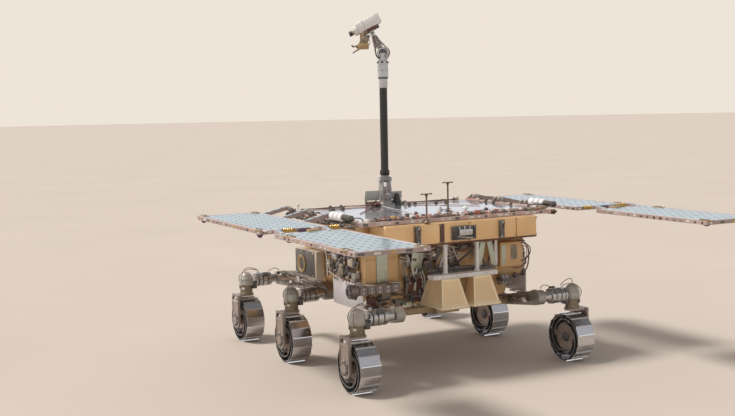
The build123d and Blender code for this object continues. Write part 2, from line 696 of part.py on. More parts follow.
PAN_Z = MAST_TOP + 50.0
NECK_HALF = 15.0
PAN_BARREL_HALF = 19.0
PAN_BARREL_R = 34.0
TILT_R = 16.0
TILT_PIN_R = 6.0
EAR_T = 10.0
with BuildPart() as neck:
    with BuildSketch(Plane.XY.offset(MAST_TOP + SEAT)):
        with Locations((at(MAST_X), 0)):
            Circle(COLLAR_R - 3)
    extrude(amount=PAN_Z - MAST_TOP - SEAT)
    with BuildSketch(head_plane(-PAN_BARREL_HALF, 0, PAN_Z)):
        Circle(PAN_BARREL_R)
    extrude(amount=2 * PAN_BARREL_HALF)
    with BuildSketch(head_plane(-NECK_HALF)):
        with Locations((0, PAN_Z)):
            Circle(22)
        with Locations((NECK_REACH, TILT_Z)):
            Circle(TILT_R)
        make_hull()
        with Locations((NECK_REACH, TILT_Z)):
            Circle(TILT_PIN_R + RUNNING, mode=Mode.SUBTRACT)
    extrude(amount=2 * NECK_HALF)
save(neck, "pan_neck")

HEAD_LENGTH = 157.0
HEAD_HALF_H = 31.0
HEAD_HALF_W = 55.0
HEAD_RISE = 65.0
HEAD_BACK = 5.0
with BuildPart() as head:
    with BuildSketch(head_plane(-HEAD_HALF_W, NECK_REACH, TILT_Z, LOOK_DOWN)):
        with Locations((-HEAD_BACK, HEAD_RISE)):
            RectangleRounded(HEAD_LENGTH, 2 * HEAD_HALF_H, 7)
    extrude(amount=2 * HEAD_HALF_W)
    for ear in (1, -1):
        ear_start = ear * (NECK_HALF + SIDE_PLAY + EAR_T / 2) - EAR_T / 2
        with BuildSketch(head_plane(ear_start, NECK_REACH, TILT_Z, LOOK_DOWN)):
            Circle(TILT_R - 2)
            with Locations((0, HEAD_RISE - HEAD_HALF_H + 1)):
                Rectangle(44, 6)
            make_hull()
        extrude(amount=EAR_T)
    with BuildSketch(head_plane(-NECK_HALF - SIDE_PLAY, NECK_REACH, TILT_Z)):
        Circle(TILT_PIN_R)
    extrude(amount=2 * (NECK_HALF + SIDE_PLAY))
    for lens_across, lens_r in ((-34.0, 16.0), (30.0, 13.0)):  # distance across the head, radius
        lens_plane = Plane(
            origin=head_plane(lens_across, NECK_REACH, TILT_Z, LOOK_DOWN).from_local_coords(
                (HEAD_LENGTH / 2 - HEAD_BACK, HEAD_RISE - 6, 0)
            ),
            x_dir=ACROSS,
            z_dir=head_plane(0, 0, 0, LOOK_DOWN).x_dir,
        )
        with BuildSketch(lens_plane):
            Circle(lens_r)
        extrude(amount=42)
save(head, "camera_head")

# Instrument slung beside the neck, under the front of the head
INSTRUMENT_OUT = 80.0
INSTRUMENT_W = 44.0
INSTRUMENT_REACH = 119.0
INSTRUMENT_Z = TILT_Z - 75.0
with BuildPart() as instrument:
    with BuildSketch(head_plane(-INSTRUMENT_OUT)):
        with Locations((INSTRUMENT_REACH, INSTRUMENT_Z)):
            RectangleRounded(67, 49, 5)
    extrude(amount=INSTRUMENT_W)
    with BuildSketch(head_plane(-52)):
        with Locations((INSTRUMENT_REACH + 7, TILT_Z - 32)):
            Rectangle(24, 62)
    extrude(amount=8)
save(instrument, "mast_instrument")

# Boxes beside the mast's foot
with BuildPart() as foot_boxes:
    with BuildSketch(Plane.XY.offset(DECK_TOP)):
        with Locations((at(MAST_X), 92)):
            Rectangle(50, 80)
    extrude(amount=40)
    with BuildSketch(Plane.XY.offset(DECK_TOP + 40)):
        with Locations((at(MAST_X + 20), 92)):
            Rectangle(6, 80)
    extrude(amount=64)
    with BuildSketch(Plane.XY.offset(DECK_TOP)):
        with Locations((at(MAST_X), -82)):
            Rectangle(60, 60)
    with BuildSketch(Plane.XY.offset(DECK_TOP + 74)):
        with Locations((at(MAST_X), -82)):
            Rectangle(24, 30)
    loft(ruled=True)
save(foot_boxes, "mast_foot_boxes")

# Whip aerials with a cross bar, one on the deck and one on the service box
with BuildPart() as aerials:
    for station, aerial_y, base, top in (  # place, lower end, height of the bar
        (-440.0, -115.0, DECK_TOP, 1045.0),
        (SERVICE_REAR + 12, 230.0, BODY_TOP, 1015.0),
    ):
        with BuildSketch(Plane.XY.offset(base)):
            with Locations((at(station), aerial_y)):
                Circle(10)
        extrude(amount=8)
        with BuildSketch(Plane.XY.offset(base)):
            with Locations((at(station), aerial_y)):
                Circle(5)
        extrude(amount=top - base)
        with BuildSketch(Plane.XY.offset(top)):
            with Locations((at(station), aerial_y)):
                Rectangle(10, 62)
        extrude(amount=6)
save(aerials, "deck_aerials")

# Domed aerial and sensor caps on the deck
with BuildPart() as domes:
    for station, dome_y, dome_h, dome_r in (  # place, height, radius
        (-370.0, -100.0, 26.0, 15.0),
        (-360.0, -290.0, 14.0, 15.0),
    ):
        with BuildSketch(side_plane(station, dome_y, DECK_TOP)):
            with BuildLine():
                Polyline((0, dome_h), (0, 0), (dome_r, 0), (dome_r, 0.3 * dome_h))
                Polyline((dome_r, 0.3 * dome_h), (0.73 * dome_r, 0.77 * dome_h), (0, dome_h))
            make_face()
        revolve(axis=Axis((at(station), dome_y, 0), (0, 0, 1)))
save(domes, "deck_domes")
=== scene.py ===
import random
from math import atan2, cos, pi, radians, sin
from random import choice, uniform

import bpy
from mathutils import Matrix, Vector


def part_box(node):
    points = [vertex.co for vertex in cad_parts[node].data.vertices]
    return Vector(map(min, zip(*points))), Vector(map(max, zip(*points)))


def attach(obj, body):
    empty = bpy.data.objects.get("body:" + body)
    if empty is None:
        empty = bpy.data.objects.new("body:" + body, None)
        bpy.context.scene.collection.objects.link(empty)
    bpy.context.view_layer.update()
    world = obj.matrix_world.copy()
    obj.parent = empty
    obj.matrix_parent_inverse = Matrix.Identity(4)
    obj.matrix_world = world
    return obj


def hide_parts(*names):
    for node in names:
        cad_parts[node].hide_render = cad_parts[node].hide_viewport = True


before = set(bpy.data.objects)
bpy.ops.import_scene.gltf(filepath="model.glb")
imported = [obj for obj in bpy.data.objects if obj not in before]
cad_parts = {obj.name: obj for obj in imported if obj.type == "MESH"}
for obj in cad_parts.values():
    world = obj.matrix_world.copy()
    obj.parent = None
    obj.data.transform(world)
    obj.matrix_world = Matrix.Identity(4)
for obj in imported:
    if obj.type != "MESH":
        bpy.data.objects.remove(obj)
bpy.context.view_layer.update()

# The camera, as it was fitted to the rims of the wheels: it stands behind the rover on its left,
# and looks slightly down over the deck.
camera_data = bpy.data.cameras.new("camera")
camera = bpy.data.objects.new("camera", camera_data)
bpy.context.scene.collection.objects.link(camera)
bpy.context.scene.camera = camera
camera_data.sensor_width = 36.0
camera_data.lens = 52.33
camera_data.clip_end = 400.0
camera_place = Vector((-5.271, 3.233, 1.476))
yaw, pitch, roll = radians(-28.01), radians(-5.21), -0.0196
ahead = Vector((cos(yaw) * cos(pitch), sin(yaw) * cos(pitch), sin(pitch)))
level = Vector((sin(yaw), -cos(yaw), 0))
upright = level.cross(ahead)
across = level * cos(roll) + upright * sin(roll)
above = upright * cos(roll) - level * sin(roll)
camera.matrix_world = Matrix.Translation(camera_place) @ Matrix((across, above, -ahead)).transposed().to_4x4()


# The floor and the light. A plain pale floor runs out to the horizon under a cream sky, with
# one broad soft lamp high on the rover's left. The sky fills in the rest; metal mirrors it
# bright at the horizon and dim overhead.
def pick_none():
    bpy.ops.object.select_all(action="DESELECT")


class Wire:
    """A shader socket. Sums on it add Math nodes."""

    def __init__(self, paint, socket):
        self.paint, self.socket = paint, socket

    def of(self, output):
        return Wire(self.paint, self.socket.node.outputs[output])

    def sum(self, operation, a, b=None):
        return self.paint.node("ShaderNodeMath", {"operation": operation}, {0: a, 1: b})

    def __add__(self, b):
        return self.sum("ADD", self, b)

    def __sub__(self, b):
        return self.sum("SUBTRACT", self, b)

    def __rsub__(self, b):
        return self.sum("SUBTRACT", b, self)

    def __mul__(self, b):
        return self.sum("MULTIPLY", self, b)

    def __truediv__(self, b):
        return self.sum("DIVIDE", self, b)

    def __gt__(self, b):
        return self.sum("GREATER_THAN", self, b)

    def __lt__(self, b):
        return self.sum("LESS_THAN", self, b)

    def fract(self):
        return self.sum("FRACT", self)

    def floor(self):
        return self.sum("FLOOR", self)

    def __abs__(self):
        return self.sum("ABSOLUTE", self)

    __radd__, __rmul__ = __add__, __mul__


class Paint:
    """One material on the object's own coordinates, with constants set on its shader."""

    def __init__(self, name, **constants):
        self.material = bpy.data.materials.new(name)
        self.material.use_nodes = True
        self.tree = self.material.node_tree
        self.shader = self.tree.nodes["Principled BSDF"]
        for socket, value in constants.items():
            self.shader.inputs[socket.replace("_", " ")].default_value = value
        self.place = self.node("ShaderNodeTexCoord").of("Object")

    def node(self, kind, settings=None, sockets=None):
        made = self.tree.nodes.new(kind)
        for setting, value in (settings or {}).items():
            setattr(made, setting, value)
        for socket, value in (sockets or {}).items():
            self.feed(made.inputs[socket], value)
        return Wire(self, made.outputs[0])

    def feed(self, socket, value):
        if isinstance(value, Wire):
            self.tree.links.new(value.socket, socket)
        elif value is not None:
            socket.default_value = (*value, 1) if socket.type == "RGBA" and len(value) == 3 else value

    def axes(self):
        x = self.node("ShaderNodeSeparateXYZ", None, {0: self.place})
        return x, x.of("Y"), x.of("Z")

    def facing(self):
        x = self.node("ShaderNodeSeparateXYZ", None, {0: self.place.of("Normal")})
        return x, x.of("Y"), x.of("Z")

    def noise(self, scale, detail=3.0, stretch=(1, 1, 1)):
        place = self.node("ShaderNodeMapping", None, {"Vector": self.place, "Scale": stretch})
        return self.node("ShaderNodeTexNoise", None, {"Vector": place, "Scale": scale, "Detail": detail})

    def mix(self, share, a, b):
        return self.node("ShaderNodeMix", {"data_type": "RGBA"}, {0: share, 6: a, 7: b}).of(2)

    def bump(self, height, distance, strength=1.0):
        sockets = {"Height": height, "Distance": distance, "Strength": strength}
        self.feed(self.shader.inputs["Normal"], self.node("ShaderNodeBump", None, sockets))

    def put(self, socket, value):
        self.feed(self.shader.inputs[socket], value)


DUST = (0.50, 0.36, 0.26)


def finish(name, color, other, rough, metal=0.0, scale=9.0, grain=220.0, relief=0.0004, dust=0.25,
           stretch=(1, 1, 1)):
    """A worn finish: two tones in soft patches, fine grain, and dust where it faces up."""
    paint = Paint(name, Metallic=metal)
    patches = paint.noise(scale, 4.0, stretch)
    fine = paint.noise(grain, 2.0, stretch)
    tone = paint.mix((patches - 0.3) * 2.0, color, other)
    upward = paint.facing()[2]
    settled = (upward * 0.6 + patches - 0.35) * dust * 1.6
    settled.socket.node.use_clamp = True
    paint.put("Base Color", paint.mix(settled, tone, DUST))
    paint.put("Roughness", rough + (patches - 0.5) * 0.2 + (fine - 0.5) * 0.12)
    paint.bump(fine, relief)
    return paint.material


def coat(piece, material):
    piece.data.materials.clear()
    piece.data.materials.append(material)
    return piece


floor_paint = Paint("pale_floor", Roughness=0.95)
floor_paint.put("Base Color", floor_paint.mix(floor_paint.noise(0.6, 5.0), (0.50, 0.435, 0.385),
                                              (0.57, 0.50, 0.445)))
pick_none()
bpy.ops.mesh.primitive_circle_add(vertices=96, radius=180.0, fill_type="NGON", location=(0, 0, 0))
floor = coat(bpy.context.object, floor_paint.material)
floor.name = "floor"
world = bpy.data.worlds.new("sky")
bpy.context.scene.world = world
world.use_nodes = True
new_node, link = world.node_tree.nodes.new, world.node_tree.links.new
sky = world.node_tree.nodes["Background"]
sky.inputs["Color"].default_value = (0.93, 0.90, 0.86, 1)
sky.inputs["Strength"].default_value = 0.62
backdrop = new_node("ShaderNodeBackground")
backdrop.inputs["Color"].default_value = (0.855, 0.78, 0.69, 1)
mirrored = new_node("ShaderNodeBackground")
fade = new_node("ShaderNodeValToRGB")
for stop, place, color in ((0, 0.12, (0.94, 0.96, 1.0, 1)), (1, 0.75, (0.20, 0.20, 0.21, 1))):
    fade.color_ramp.elements[stop].position = place
    fade.color_ramp.elements[stop].color = color
skyward = new_node("ShaderNodeSeparateXYZ")
link(new_node("ShaderNodeTexCoord").outputs["Generated"], skyward.inputs[0])
link(skyward.outputs["Z"], fade.inputs[0])
link(fade.outputs["Color"], mirrored.inputs["Color"])
rays = new_node("ShaderNodeLightPath")
lit = new_node("ShaderNodeMixShader")
seen = new_node("ShaderNodeMixShader")
for mixer, ray, first, second in ((lit, "Is Glossy Ray", sky, mirrored),
                                  (seen, "Is Camera Ray", lit, backdrop)):
    link(rays.outputs[ray], mixer.inputs[0])
    link(first.outputs[0], mixer.inputs[1])
    link(second.outputs[0], mixer.inputs[2])
link(seen.outputs[0], world.node_tree.nodes["World Output"].inputs["Surface"])
lamp_data = bpy.data.lights.new("lamp", "SUN")
lamp_data.energy = 3.1
lamp_data.angle = radians(14)
lamp_data.color = (1.0, 0.96, 0.9)
lamp = bpy.data.objects.new("lamp", lamp_data)
bpy.context.scene.collection.objects.link(lamp)
lamp.rotation_euler = Vector((-0.30, -0.62, -0.95)).to_track_quat("-Z", "Y").to_euler()
bpy.context.scene.view_settings.view_transform = "Standard"

# The wheels: a band of flat steel facets with a grouser bar at each joint, on curved leaf
# springs round a dished drum. All of it is bare metal, brushed by the ground it runs on.
wheel_low, wheel_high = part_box("wheel_middle_left")
MID = (wheel_low.x + wheel_high.x) / 2
AXLE_Z = (wheel_low.z + wheel_high.z) / 2
WHEEL_Y = (wheel_low.y + wheel_high.y) / 2
DRUM_RADIUS, BAND_RADIUS, GROUSER_RADIUS = 0.0835, 0.1292, 0.1379
AHEAD, BACK, LEFT, RIGHT, UP, DOWN = (1, 0, 0), (-1, 0, 0), (0, 1, 0), (0, -1, 0), (0, 0, 1), (0, 0, -1)
SIDES = (("left", 1), ("right", -1))
WHEELS = {}
for end in ("front", "middle", "rear"):
    for hand, side in SIDES:
        low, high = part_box(f"wheel_{end}_{hand}")
        WHEELS[f"{end}_{hand}"] = ((low.x + high.x) / 2, side)


def at(station, y, z):
    """A point whose X is measured from the middle wheels' axle."""
    return Vector((MID + station, y, z))


def wheel_finish(name, centre_x):
    paint = Paint("wheel_" + name)
    x, y, z = paint.axes()
    out_x, out_z = x - centre_x, z - AXLE_Z
    reach = paint.node("ShaderNodeMath", {"operation": "SQRT"}, {0: out_x * out_x + out_z * out_z})
    sideways = abs(paint.facing()[1]) > 0.8
    brushed = paint.noise(30.0, 2.0, (5, 0.3, 5))
    scuffs = paint.noise(16.0, 4.0)
    band = paint.mix((brushed - 0.3) * 2.2, (0.54, 0.53, 0.54), (0.62, 0.61, 0.62))
    # In the springs' zone, faces that face sideways take the springs' grey. All other faces there (the band's
    # inside, the spring edges and the drum seen between them) are painted near-black: painted shade inside
    # the wheel.
    leaf_tone_and_painted_shade = paint.mix(sideways, (0.07, 0.07, 0.075), (0.42, 0.42, 0.42))
    hub = paint.mix((scuffs - 0.35) * 2.0, (0.25, 0.185, 0.155), (0.40, 0.33, 0.30))
    color = paint.mix(reach > DRUM_RADIUS, hub, paint.mix(reach > BAND_RADIUS, leaf_tone_and_painted_shade, band))
    color = paint.mix((reach > GROUSER_RADIUS) * 0.8, color, (0.92, 0.91, 0.9))
    dusted = (scuffs - 0.56) * 1.3
    dusted.socket.node.use_clamp = True
    paint.put("Base Color", paint.mix(dusted, color, DUST))
    paint.put("Metallic", 0.35 + (reach > BAND_RADIUS) * 0.6)
    paint.put("Roughness", 0.13 + (reach < BAND_RADIUS) * 0.27 + (brushed - 0.5) * 0.12 + dusted * 0.4)
    paint.bump(brushed, 0.0001)
    return paint.material


def slab(material, size, place, bevel=0.002, turn=(0, 0, 0), steps=2):
    """A block with rounded edges."""
    pick_none()
    bpy.ops.mesh.primitive_cube_add(size=1, location=place, rotation=turn, scale=size)
    bpy.ops.object.transform_apply(location=True, rotation=True, scale=True)
    bpy.ops.object.mode_set(mode="EDIT")
    bpy.ops.mesh.bevel(offset=min(bevel, 0.45 * min(size)), segments=steps, affect="EDGES")
    bpy.ops.object.mode_set(mode="OBJECT")
    return coat(bpy.context.object, material)


def turned(material, rings, place, along, sides=32):
    """A turned shape, from rings of radius and distance along its axis."""
    pick_none()
    radius, distance = rings[0]
    bpy.ops.mesh.primitive_circle_add(vertices=sides, radius=radius, fill_type="NGON",
                                      location=(0, 0, distance))
    bpy.ops.object.transform_apply(location=True)
    bpy.ops.object.mode_set(mode="EDIT")
    for next_radius, next_distance in rings[1:]:
        step = (0, 0, next_distance - distance)
        bpy.ops.mesh.extrude_region_move(TRANSFORM_OT_translate={"value": step})
        share = next_radius / radius
        bpy.ops.transform.resize(value=(share, share, 1), center_override=(0, 0, next_distance))
        radius, distance = next_radius, next_distance
    bpy.ops.mesh.select_all(action="SELECT")
    bpy.ops.mesh.normals_make_consistent(inside=False)
    bpy.ops.object.mode_set(mode="OBJECT")
    shape = bpy.context.object
    turn = Vector(along).normalized().to_track_quat("Z", "Y").to_matrix().to_4x4()
    shape.data.transform(Matrix.Translation(Vector(place)) @ turn)
    return coat(shape, material)


def rod(material, start, end, radius):
    """A round bar with eased ends."""
    reach = (Vector(end) - Vector(start)).length
    ease = min(radius * 0.25, reach * 0.2)
    rings = [(radius - ease, 0), (radius, ease), (radius, reach - ease), (radius - ease, reach)]
    return turned(material, rings, start, Vector(end) - Vector(start), 12)


def bolt(place, along, radius=0.004, height=0.003, metal=None):
    """A hex bolt head on its washer, of bright steel if nothing else is said."""
    washer = height * 0.3
    rings = [(radius * 1.5, 0), (radius * 1.5, washer), (radius, washer), (radius, height),
             (radius * 0.7, height * 1.15)]
    return turned(metal or steel, rings, place, along, 6)


def bolt_ring(place, along, ring_radius, count, radius=0.004):
    """Bolts evenly round a circle."""
    turn = Vector(along).normalized().to_track_quat("Z", "Y").to_matrix()
    bolts = []
    for step in range(count):
        angle = 2 * pi * step / count
        offset = turn @ Vector((ring_radius * cos(angle), ring_radius * sin(angle), 0))
        bolts.append(bolt(Vector(place) + offset, along, radius))
    return bolts


def cable(points, radius, material, sides=2):
    """A thin cable along a smooth line."""
    curve = bpy.data.curves.new("cable", "CURVE")
    curve.dimensions = "3D"
    curve.bevel_depth = radius
    curve.bevel_resolution = sides
    curve.use_fill_caps = True
    curve.resolution_u = 5
    spline = curve.splines.new("NURBS")
    spline.points.add(len(points) - 1)
    for knot, point in zip(spline.points, points):
        knot.co = (*point, 1)
    spline.order_u = 3
    spline.use_endpoint_u = True
    piece = bpy.data.objects.new("cable", curve)
    bpy.context.scene.collection.objects.link(piece)
    pick_none()
    piece.select_set(True)
    bpy.context.view_layer.objects.active = piece
    bpy.ops.object.convert(target="MESH")
    return coat(bpy.context.object, material)


def join(parts, name):
    """The parts as one piece, smooth over its shallow edges."""
    pick_none()
    for part in parts:
        part.select_set(True)
    bpy.context.view_layer.objects.active = parts[0]
    if len(parts) > 1:
        bpy.ops.object.join()
    bpy.ops.object.shade_smooth_by_angle(angle=0.6)
    piece = bpy.context.object
    piece.name = name
    piece.data.name = name
    return piece


def fit(piece, body, slot, *nodes):
    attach(piece, body)
    if nodes:
        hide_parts(*nodes)
    return piece


def copy_to(pattern, name, x, side):
    """A copy of a piece modelled at the left middle leg, turned round for the right side."""
    piece = bpy.data.objects.new(name, pattern.data.copy())
    bpy.context.scene.collection.objects.link(piece)
    half_turn = Matrix.Rotation(0 if side == 1 else pi, 4, "Z")
    piece.data.transform(Matrix.Translation((x, 0, 0)) @ half_turn @ Matrix.Translation((-MID, 0, 0)))
    return piece


def remove(*pieces):
    for piece in pieces:
        bpy.data.objects.remove(piece)


steel = finish("bright_steel", (0.62, 0.61, 0.6), (0.5, 0.49, 0.48), 0.32, 0.9, dust=0.1)
dark_steel = finish("dark_steel", (0.10, 0.10, 0.105), (0.16, 0.15, 0.15), 0.5, 0.5, dust=0.15)
inner_face = WHEEL_Y - 0.045
outer_face = WHEEL_Y + 0.045
rim = [(DRUM_RADIUS, -0.003), (DRUM_RADIUS, 0.002), (0.0795, 0.0035), (0.0755, 0.0015),
       (0.0750, -0.001)]
parts = [
    turned(dark_steel, [(0.066, 0), (0.068, 0.004), (0.062, 0.006), (0.060, 0.001)],
           (MID, inner_face + 0.002, AXLE_Z), RIGHT, 48),
    turned(dark_steel, [(0.030, -0.004), (0.030, 0.005), (0.024, 0.008), (0.012, 0.009)],
           (MID, inner_face, AXLE_Z), RIGHT, 32),
    turned(steel, rim, (MID, inner_face, AXLE_Z), RIGHT, 64),
]
parts += bolt_ring((MID, inner_face + 0.001, AXLE_Z), RIGHT, 0.050, 10, 0.0035)
parts += bolt_ring((MID, outer_face - 0.006, AXLE_Z), LEFT, 0.052, 10, 0.0035)
for row in (-1, 1):
    for facet in range(16):
        angle = radians(22.5 * facet)
        out = Vector((cos(angle), 0, sin(angle)))
        place = Vector((MID, WHEEL_Y + row * 0.043, AXLE_Z)) + out * 0.1342
        parts.append(turned(steel, [(0.0032, 0), (0.0032, 0.0006), (0.0018, 0.0014)], place, out, 8))
wheel_trim = join(parts, "wheel_trim")
for name, (x, side) in WHEELS.items():
    coat(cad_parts["wheel_" + name], wheel_finish(name, x))
    fit(copy_to(wheel_trim, "wheel_trim_" + name, x, side), "rolling_" + name, "wheel_steel")
remove(wheel_trim)

# The steering forks: one flat machined leg outboard of each wheel, with a thickened rim, bolts
# at its foot round the drive, and a white connector where its cable ends.
fork_metal = finish("fork_metal", (0.36, 0.30, 0.27), (0.285, 0.235, 0.205), 0.38, 0.45, 6.0, 160.0, 0.0003,
                    0.15, (1, 1, 0.25))
white = finish("white_paint", (0.74, 0.72, 0.71), (0.66, 0.64, 0.62), 0.5, dust=0.2)
black = finish("black_plastic", (0.03, 0.03, 0.032), (0.05, 0.048, 0.045), 0.45, dust=0.15)
fork_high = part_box("steering_fork_middle_left")[1]
leg_face = fork_high.y - 0.008
FORK_TOP = fork_high.z
parts = [
    turned(dark_steel, [(0.036, -0.001), (0.038, 0.004), (0.030, 0.0075), (0.014, 0.0078)],
           (MID, leg_face, AXLE_Z), LEFT, 40),
    slab(fork_metal, (0.006, 0.004, 0.14), at(-0.049, leg_face + 0.0015, 0.215), 0.0015),
    slab(fork_metal, (0.006, 0.004, 0.14), at(0.049, leg_face + 0.0015, 0.215), 0.0015),
    slab(white, (0.022, 0.012, 0.016), at(-0.022, leg_face + 0.004, FORK_TOP - 0.02), 0.003),
    slab(black, (0.014, 0.008, 0.02), at(0.024, leg_face + 0.003, FORK_TOP - 0.02), 0.002),
]
parts += bolt_ring((MID, leg_face + 0.003, AXLE_Z), LEFT, 0.045, 8, 0.0032)
for offset in (-0.034, -0.012, 0.012, 0.034):
    parts += [
        bolt(at(offset, leg_face, FORK_TOP - 0.045), LEFT),
        bolt(at(offset, WHEEL_Y + 0.052, FORK_TOP - 0.0125), DOWN),
    ]
fork_trim = join(parts, "fork_trim")
for name, (x, side) in WHEELS.items():
    coat(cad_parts["steering_fork_" + name], fork_metal)
    fit(copy_to(fork_trim, "fork_trim_" + name, x, side), "steering_" + name, "fork_metal")
remove(fork_trim)

# The leg actuators: a geared steering drive under a pale anodised dome, and beside it the
# banded barrel of the deployment drive. Both are machined housings bolted flange to flange.
dome_metal = finish("dome_metal", (0.46, 0.46, 0.43), (0.37, 0.37, 0.345), 0.36, 0.35, 12.0, 200.0, 0.0003,
                    0.35)
olive = finish("olive_housing", (0.20, 0.17, 0.115), (0.28, 0.235, 0.165), 0.5, 0.25, 14.0, dust=0.35)
silver = finish("silver_housing", (0.56, 0.555, 0.55), (0.42, 0.405, 0.39), 0.24, 0.8, 16.0, dust=0.25)
brown_cable = finish("brown_cable", (0.15, 0.085, 0.05), (0.22, 0.13, 0.08), 0.55, dust=0.2)
base_z = FORK_TOP + 0.0003
top_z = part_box("leg_actuators_middle_left")[1].z - base_z
DOME_TOP = 0.1415
body_rings = [(0.040, 0), (0.042, 0.002), (0.042, 0.007), (0.037, 0.009), (0.037, 0.024), (0.040, 0.026),
              (0.040, 0.030), (0.037, 0.032), (0.037, 0.048), (0.0455, 0.052), (0.0455, 0.058)]
dome_rings = [(0.0455, 0.058), (0.0465, 0.060), (0.0465, 0.066), (0.0435, 0.068), (0.0435, 0.092),
              (0.0455, 0.094), (0.0455, 0.099), (0.042, 0.104), (0.037, 0.119), (0.029, 0.130),
              (0.018, 0.1365), (0.009, 0.1385), (0.009, 0.1405), (0.004, DOME_TOP)]
dome_rings = [(radius, min(height * top_z / DOME_TOP, top_z)) for radius, height in dome_rings]
steer_parts = [
    turned(olive, body_rings, (MID, WHEEL_Y, base_z), UP, 40),
    turned(dome_metal, dome_rings, (MID, WHEEL_Y, base_z), UP, 48),
]
for step in range(10):
    angle = 2 * pi * step / 10
    out = Vector((cos(angle), sin(angle), 0))
    rib = Vector((MID, WHEEL_Y, base_z + 0.0165)) + out * 0.038
    steer_parts.append(slab(olive, (0.004, 0.005, 0.016), rib, 0.001, (0, 0, angle)))
    flange = Vector((MID, WHEEL_Y, base_z + 0.0665 * top_z / DOME_TOP)) + out * 0.0445
    steer_parts.append(turned(steel, [(0.0018, 0), (0.0018, 0.004), (0.001, 0.005)], flange, UP, 6))
steer_parts += [
    slab(white, (0.018, 0.012, 0.014), at(-0.030, WHEEL_Y + 0.030, base_z + 0.038), 0.003, (0, 0, 0.8)),
    slab(dark_steel, (0.016, 0.010, 0.020), at(0.028, WHEEL_Y + 0.030, base_z + 0.040), 0.003, (0, 0, -0.8)),
    slab(dark_steel, (0.046, 0.030, 0.046), (MID, WHEEL_Y - 0.053, base_z + 0.052), 0.004),
]
steering_drive = join(steer_parts, "steering_drive")
LEG_Z = 0.390
barrel = [(0.030, 0), (0.042, 0.002), (0.042, 0.014), (0.036, 0.016), (0.036, 0.020), (0.044, 0.022),
          (0.044, 0.044), (0.039, 0.046), (0.039, 0.050), (0.044, 0.052), (0.044, 0.080), (0.040, 0.082),
          (0.040, 0.086), (0.0435, 0.088), (0.0435, 0.108), (0.036, 0.112), (0.030, 0.114), (0.028, 0.126),
          (0.028, 0.152), (0.020, 0.154)]
barrel_start = WHEEL_Y - 0.042 - 0.016
deploy_parts = [turned(silver, barrel, (MID, barrel_start, LEG_Z), RIGHT, 40)]
for distance, radius in ((0.018, 0.0375), (0.048, 0.0405), (0.084, 0.0415)):
    ring = [(radius, -0.0016), (radius + 0.0008, 0), (radius, 0.0016)]
    deploy_parts.append(turned(black, ring, (MID, barrel_start - distance, LEG_Z), RIGHT, 40))
deploy_parts += bolt_ring((MID, barrel_start - 0.001, LEG_Z), LEFT, 0.036, 8, 0.003)
for angle in (0.6, 2.2, 3.6, 5.2):
    lug = at(0.041 * cos(angle), barrel_start - 0.098, LEG_Z + 0.041 * sin(angle))
    deploy_parts.append(slab(dark_steel, (0.010, 0.018, 0.008), lug, 0.002, (0, -angle, 0)))
deploy_parts += [
    slab(dark_steel, (0.030, 0.040, 0.022), at(-0.030, barrel_start - 0.062, LEG_Z + 0.034), 0.004,
         (0, 0.5, 0)),
    slab(white, (0.016, 0.016, 0.012), at(0.020, barrel_start - 0.030, LEG_Z + 0.046), 0.003),
]
loops = [
    [(-0.030, 0.030, -0.040), (-0.052, 0.052, -0.020), (-0.060, 0.052, 0.030), (-0.040, 0.030, 0.072),
     (-0.012, -0.020, 0.078), (-0.004, -0.070, 0.060), (0.006, -0.090, 0.048)],
    [(0.028, 0.030, -0.030), (0.050, 0.040, 0.000), (0.046, 0.000, 0.050), (0.030, -0.050, 0.062),
     (0.020, -0.090, 0.048)],
    [(-0.006, -0.150, 0.040), (-0.012, -0.180, 0.056), (-0.004, -0.215, 0.058), (0.004, -0.235, 0.040)],
]
drive_z = LEG_Z + 0.010
for loop in loops:
    points = [at(dx, WHEEL_Y + dy, drive_z + dz) for dx, dy, dz in loop]
    deploy_parts.append(cable(points, 0.0022, brown_cable))
deployment_drive = join(deploy_parts, "deployment_drive")
for name, (x, side) in WHEELS.items():
    fit(copy_to(steering_drive, "steering_drive_" + name, x, side), "chassis", "actuator_metal",
        "leg_actuators_" + name)
    fit(copy_to(deployment_drive, "deployment_drive_" + name, x, side), "chassis", "actuator_metal")
remove(steering_drive, deployment_drive)

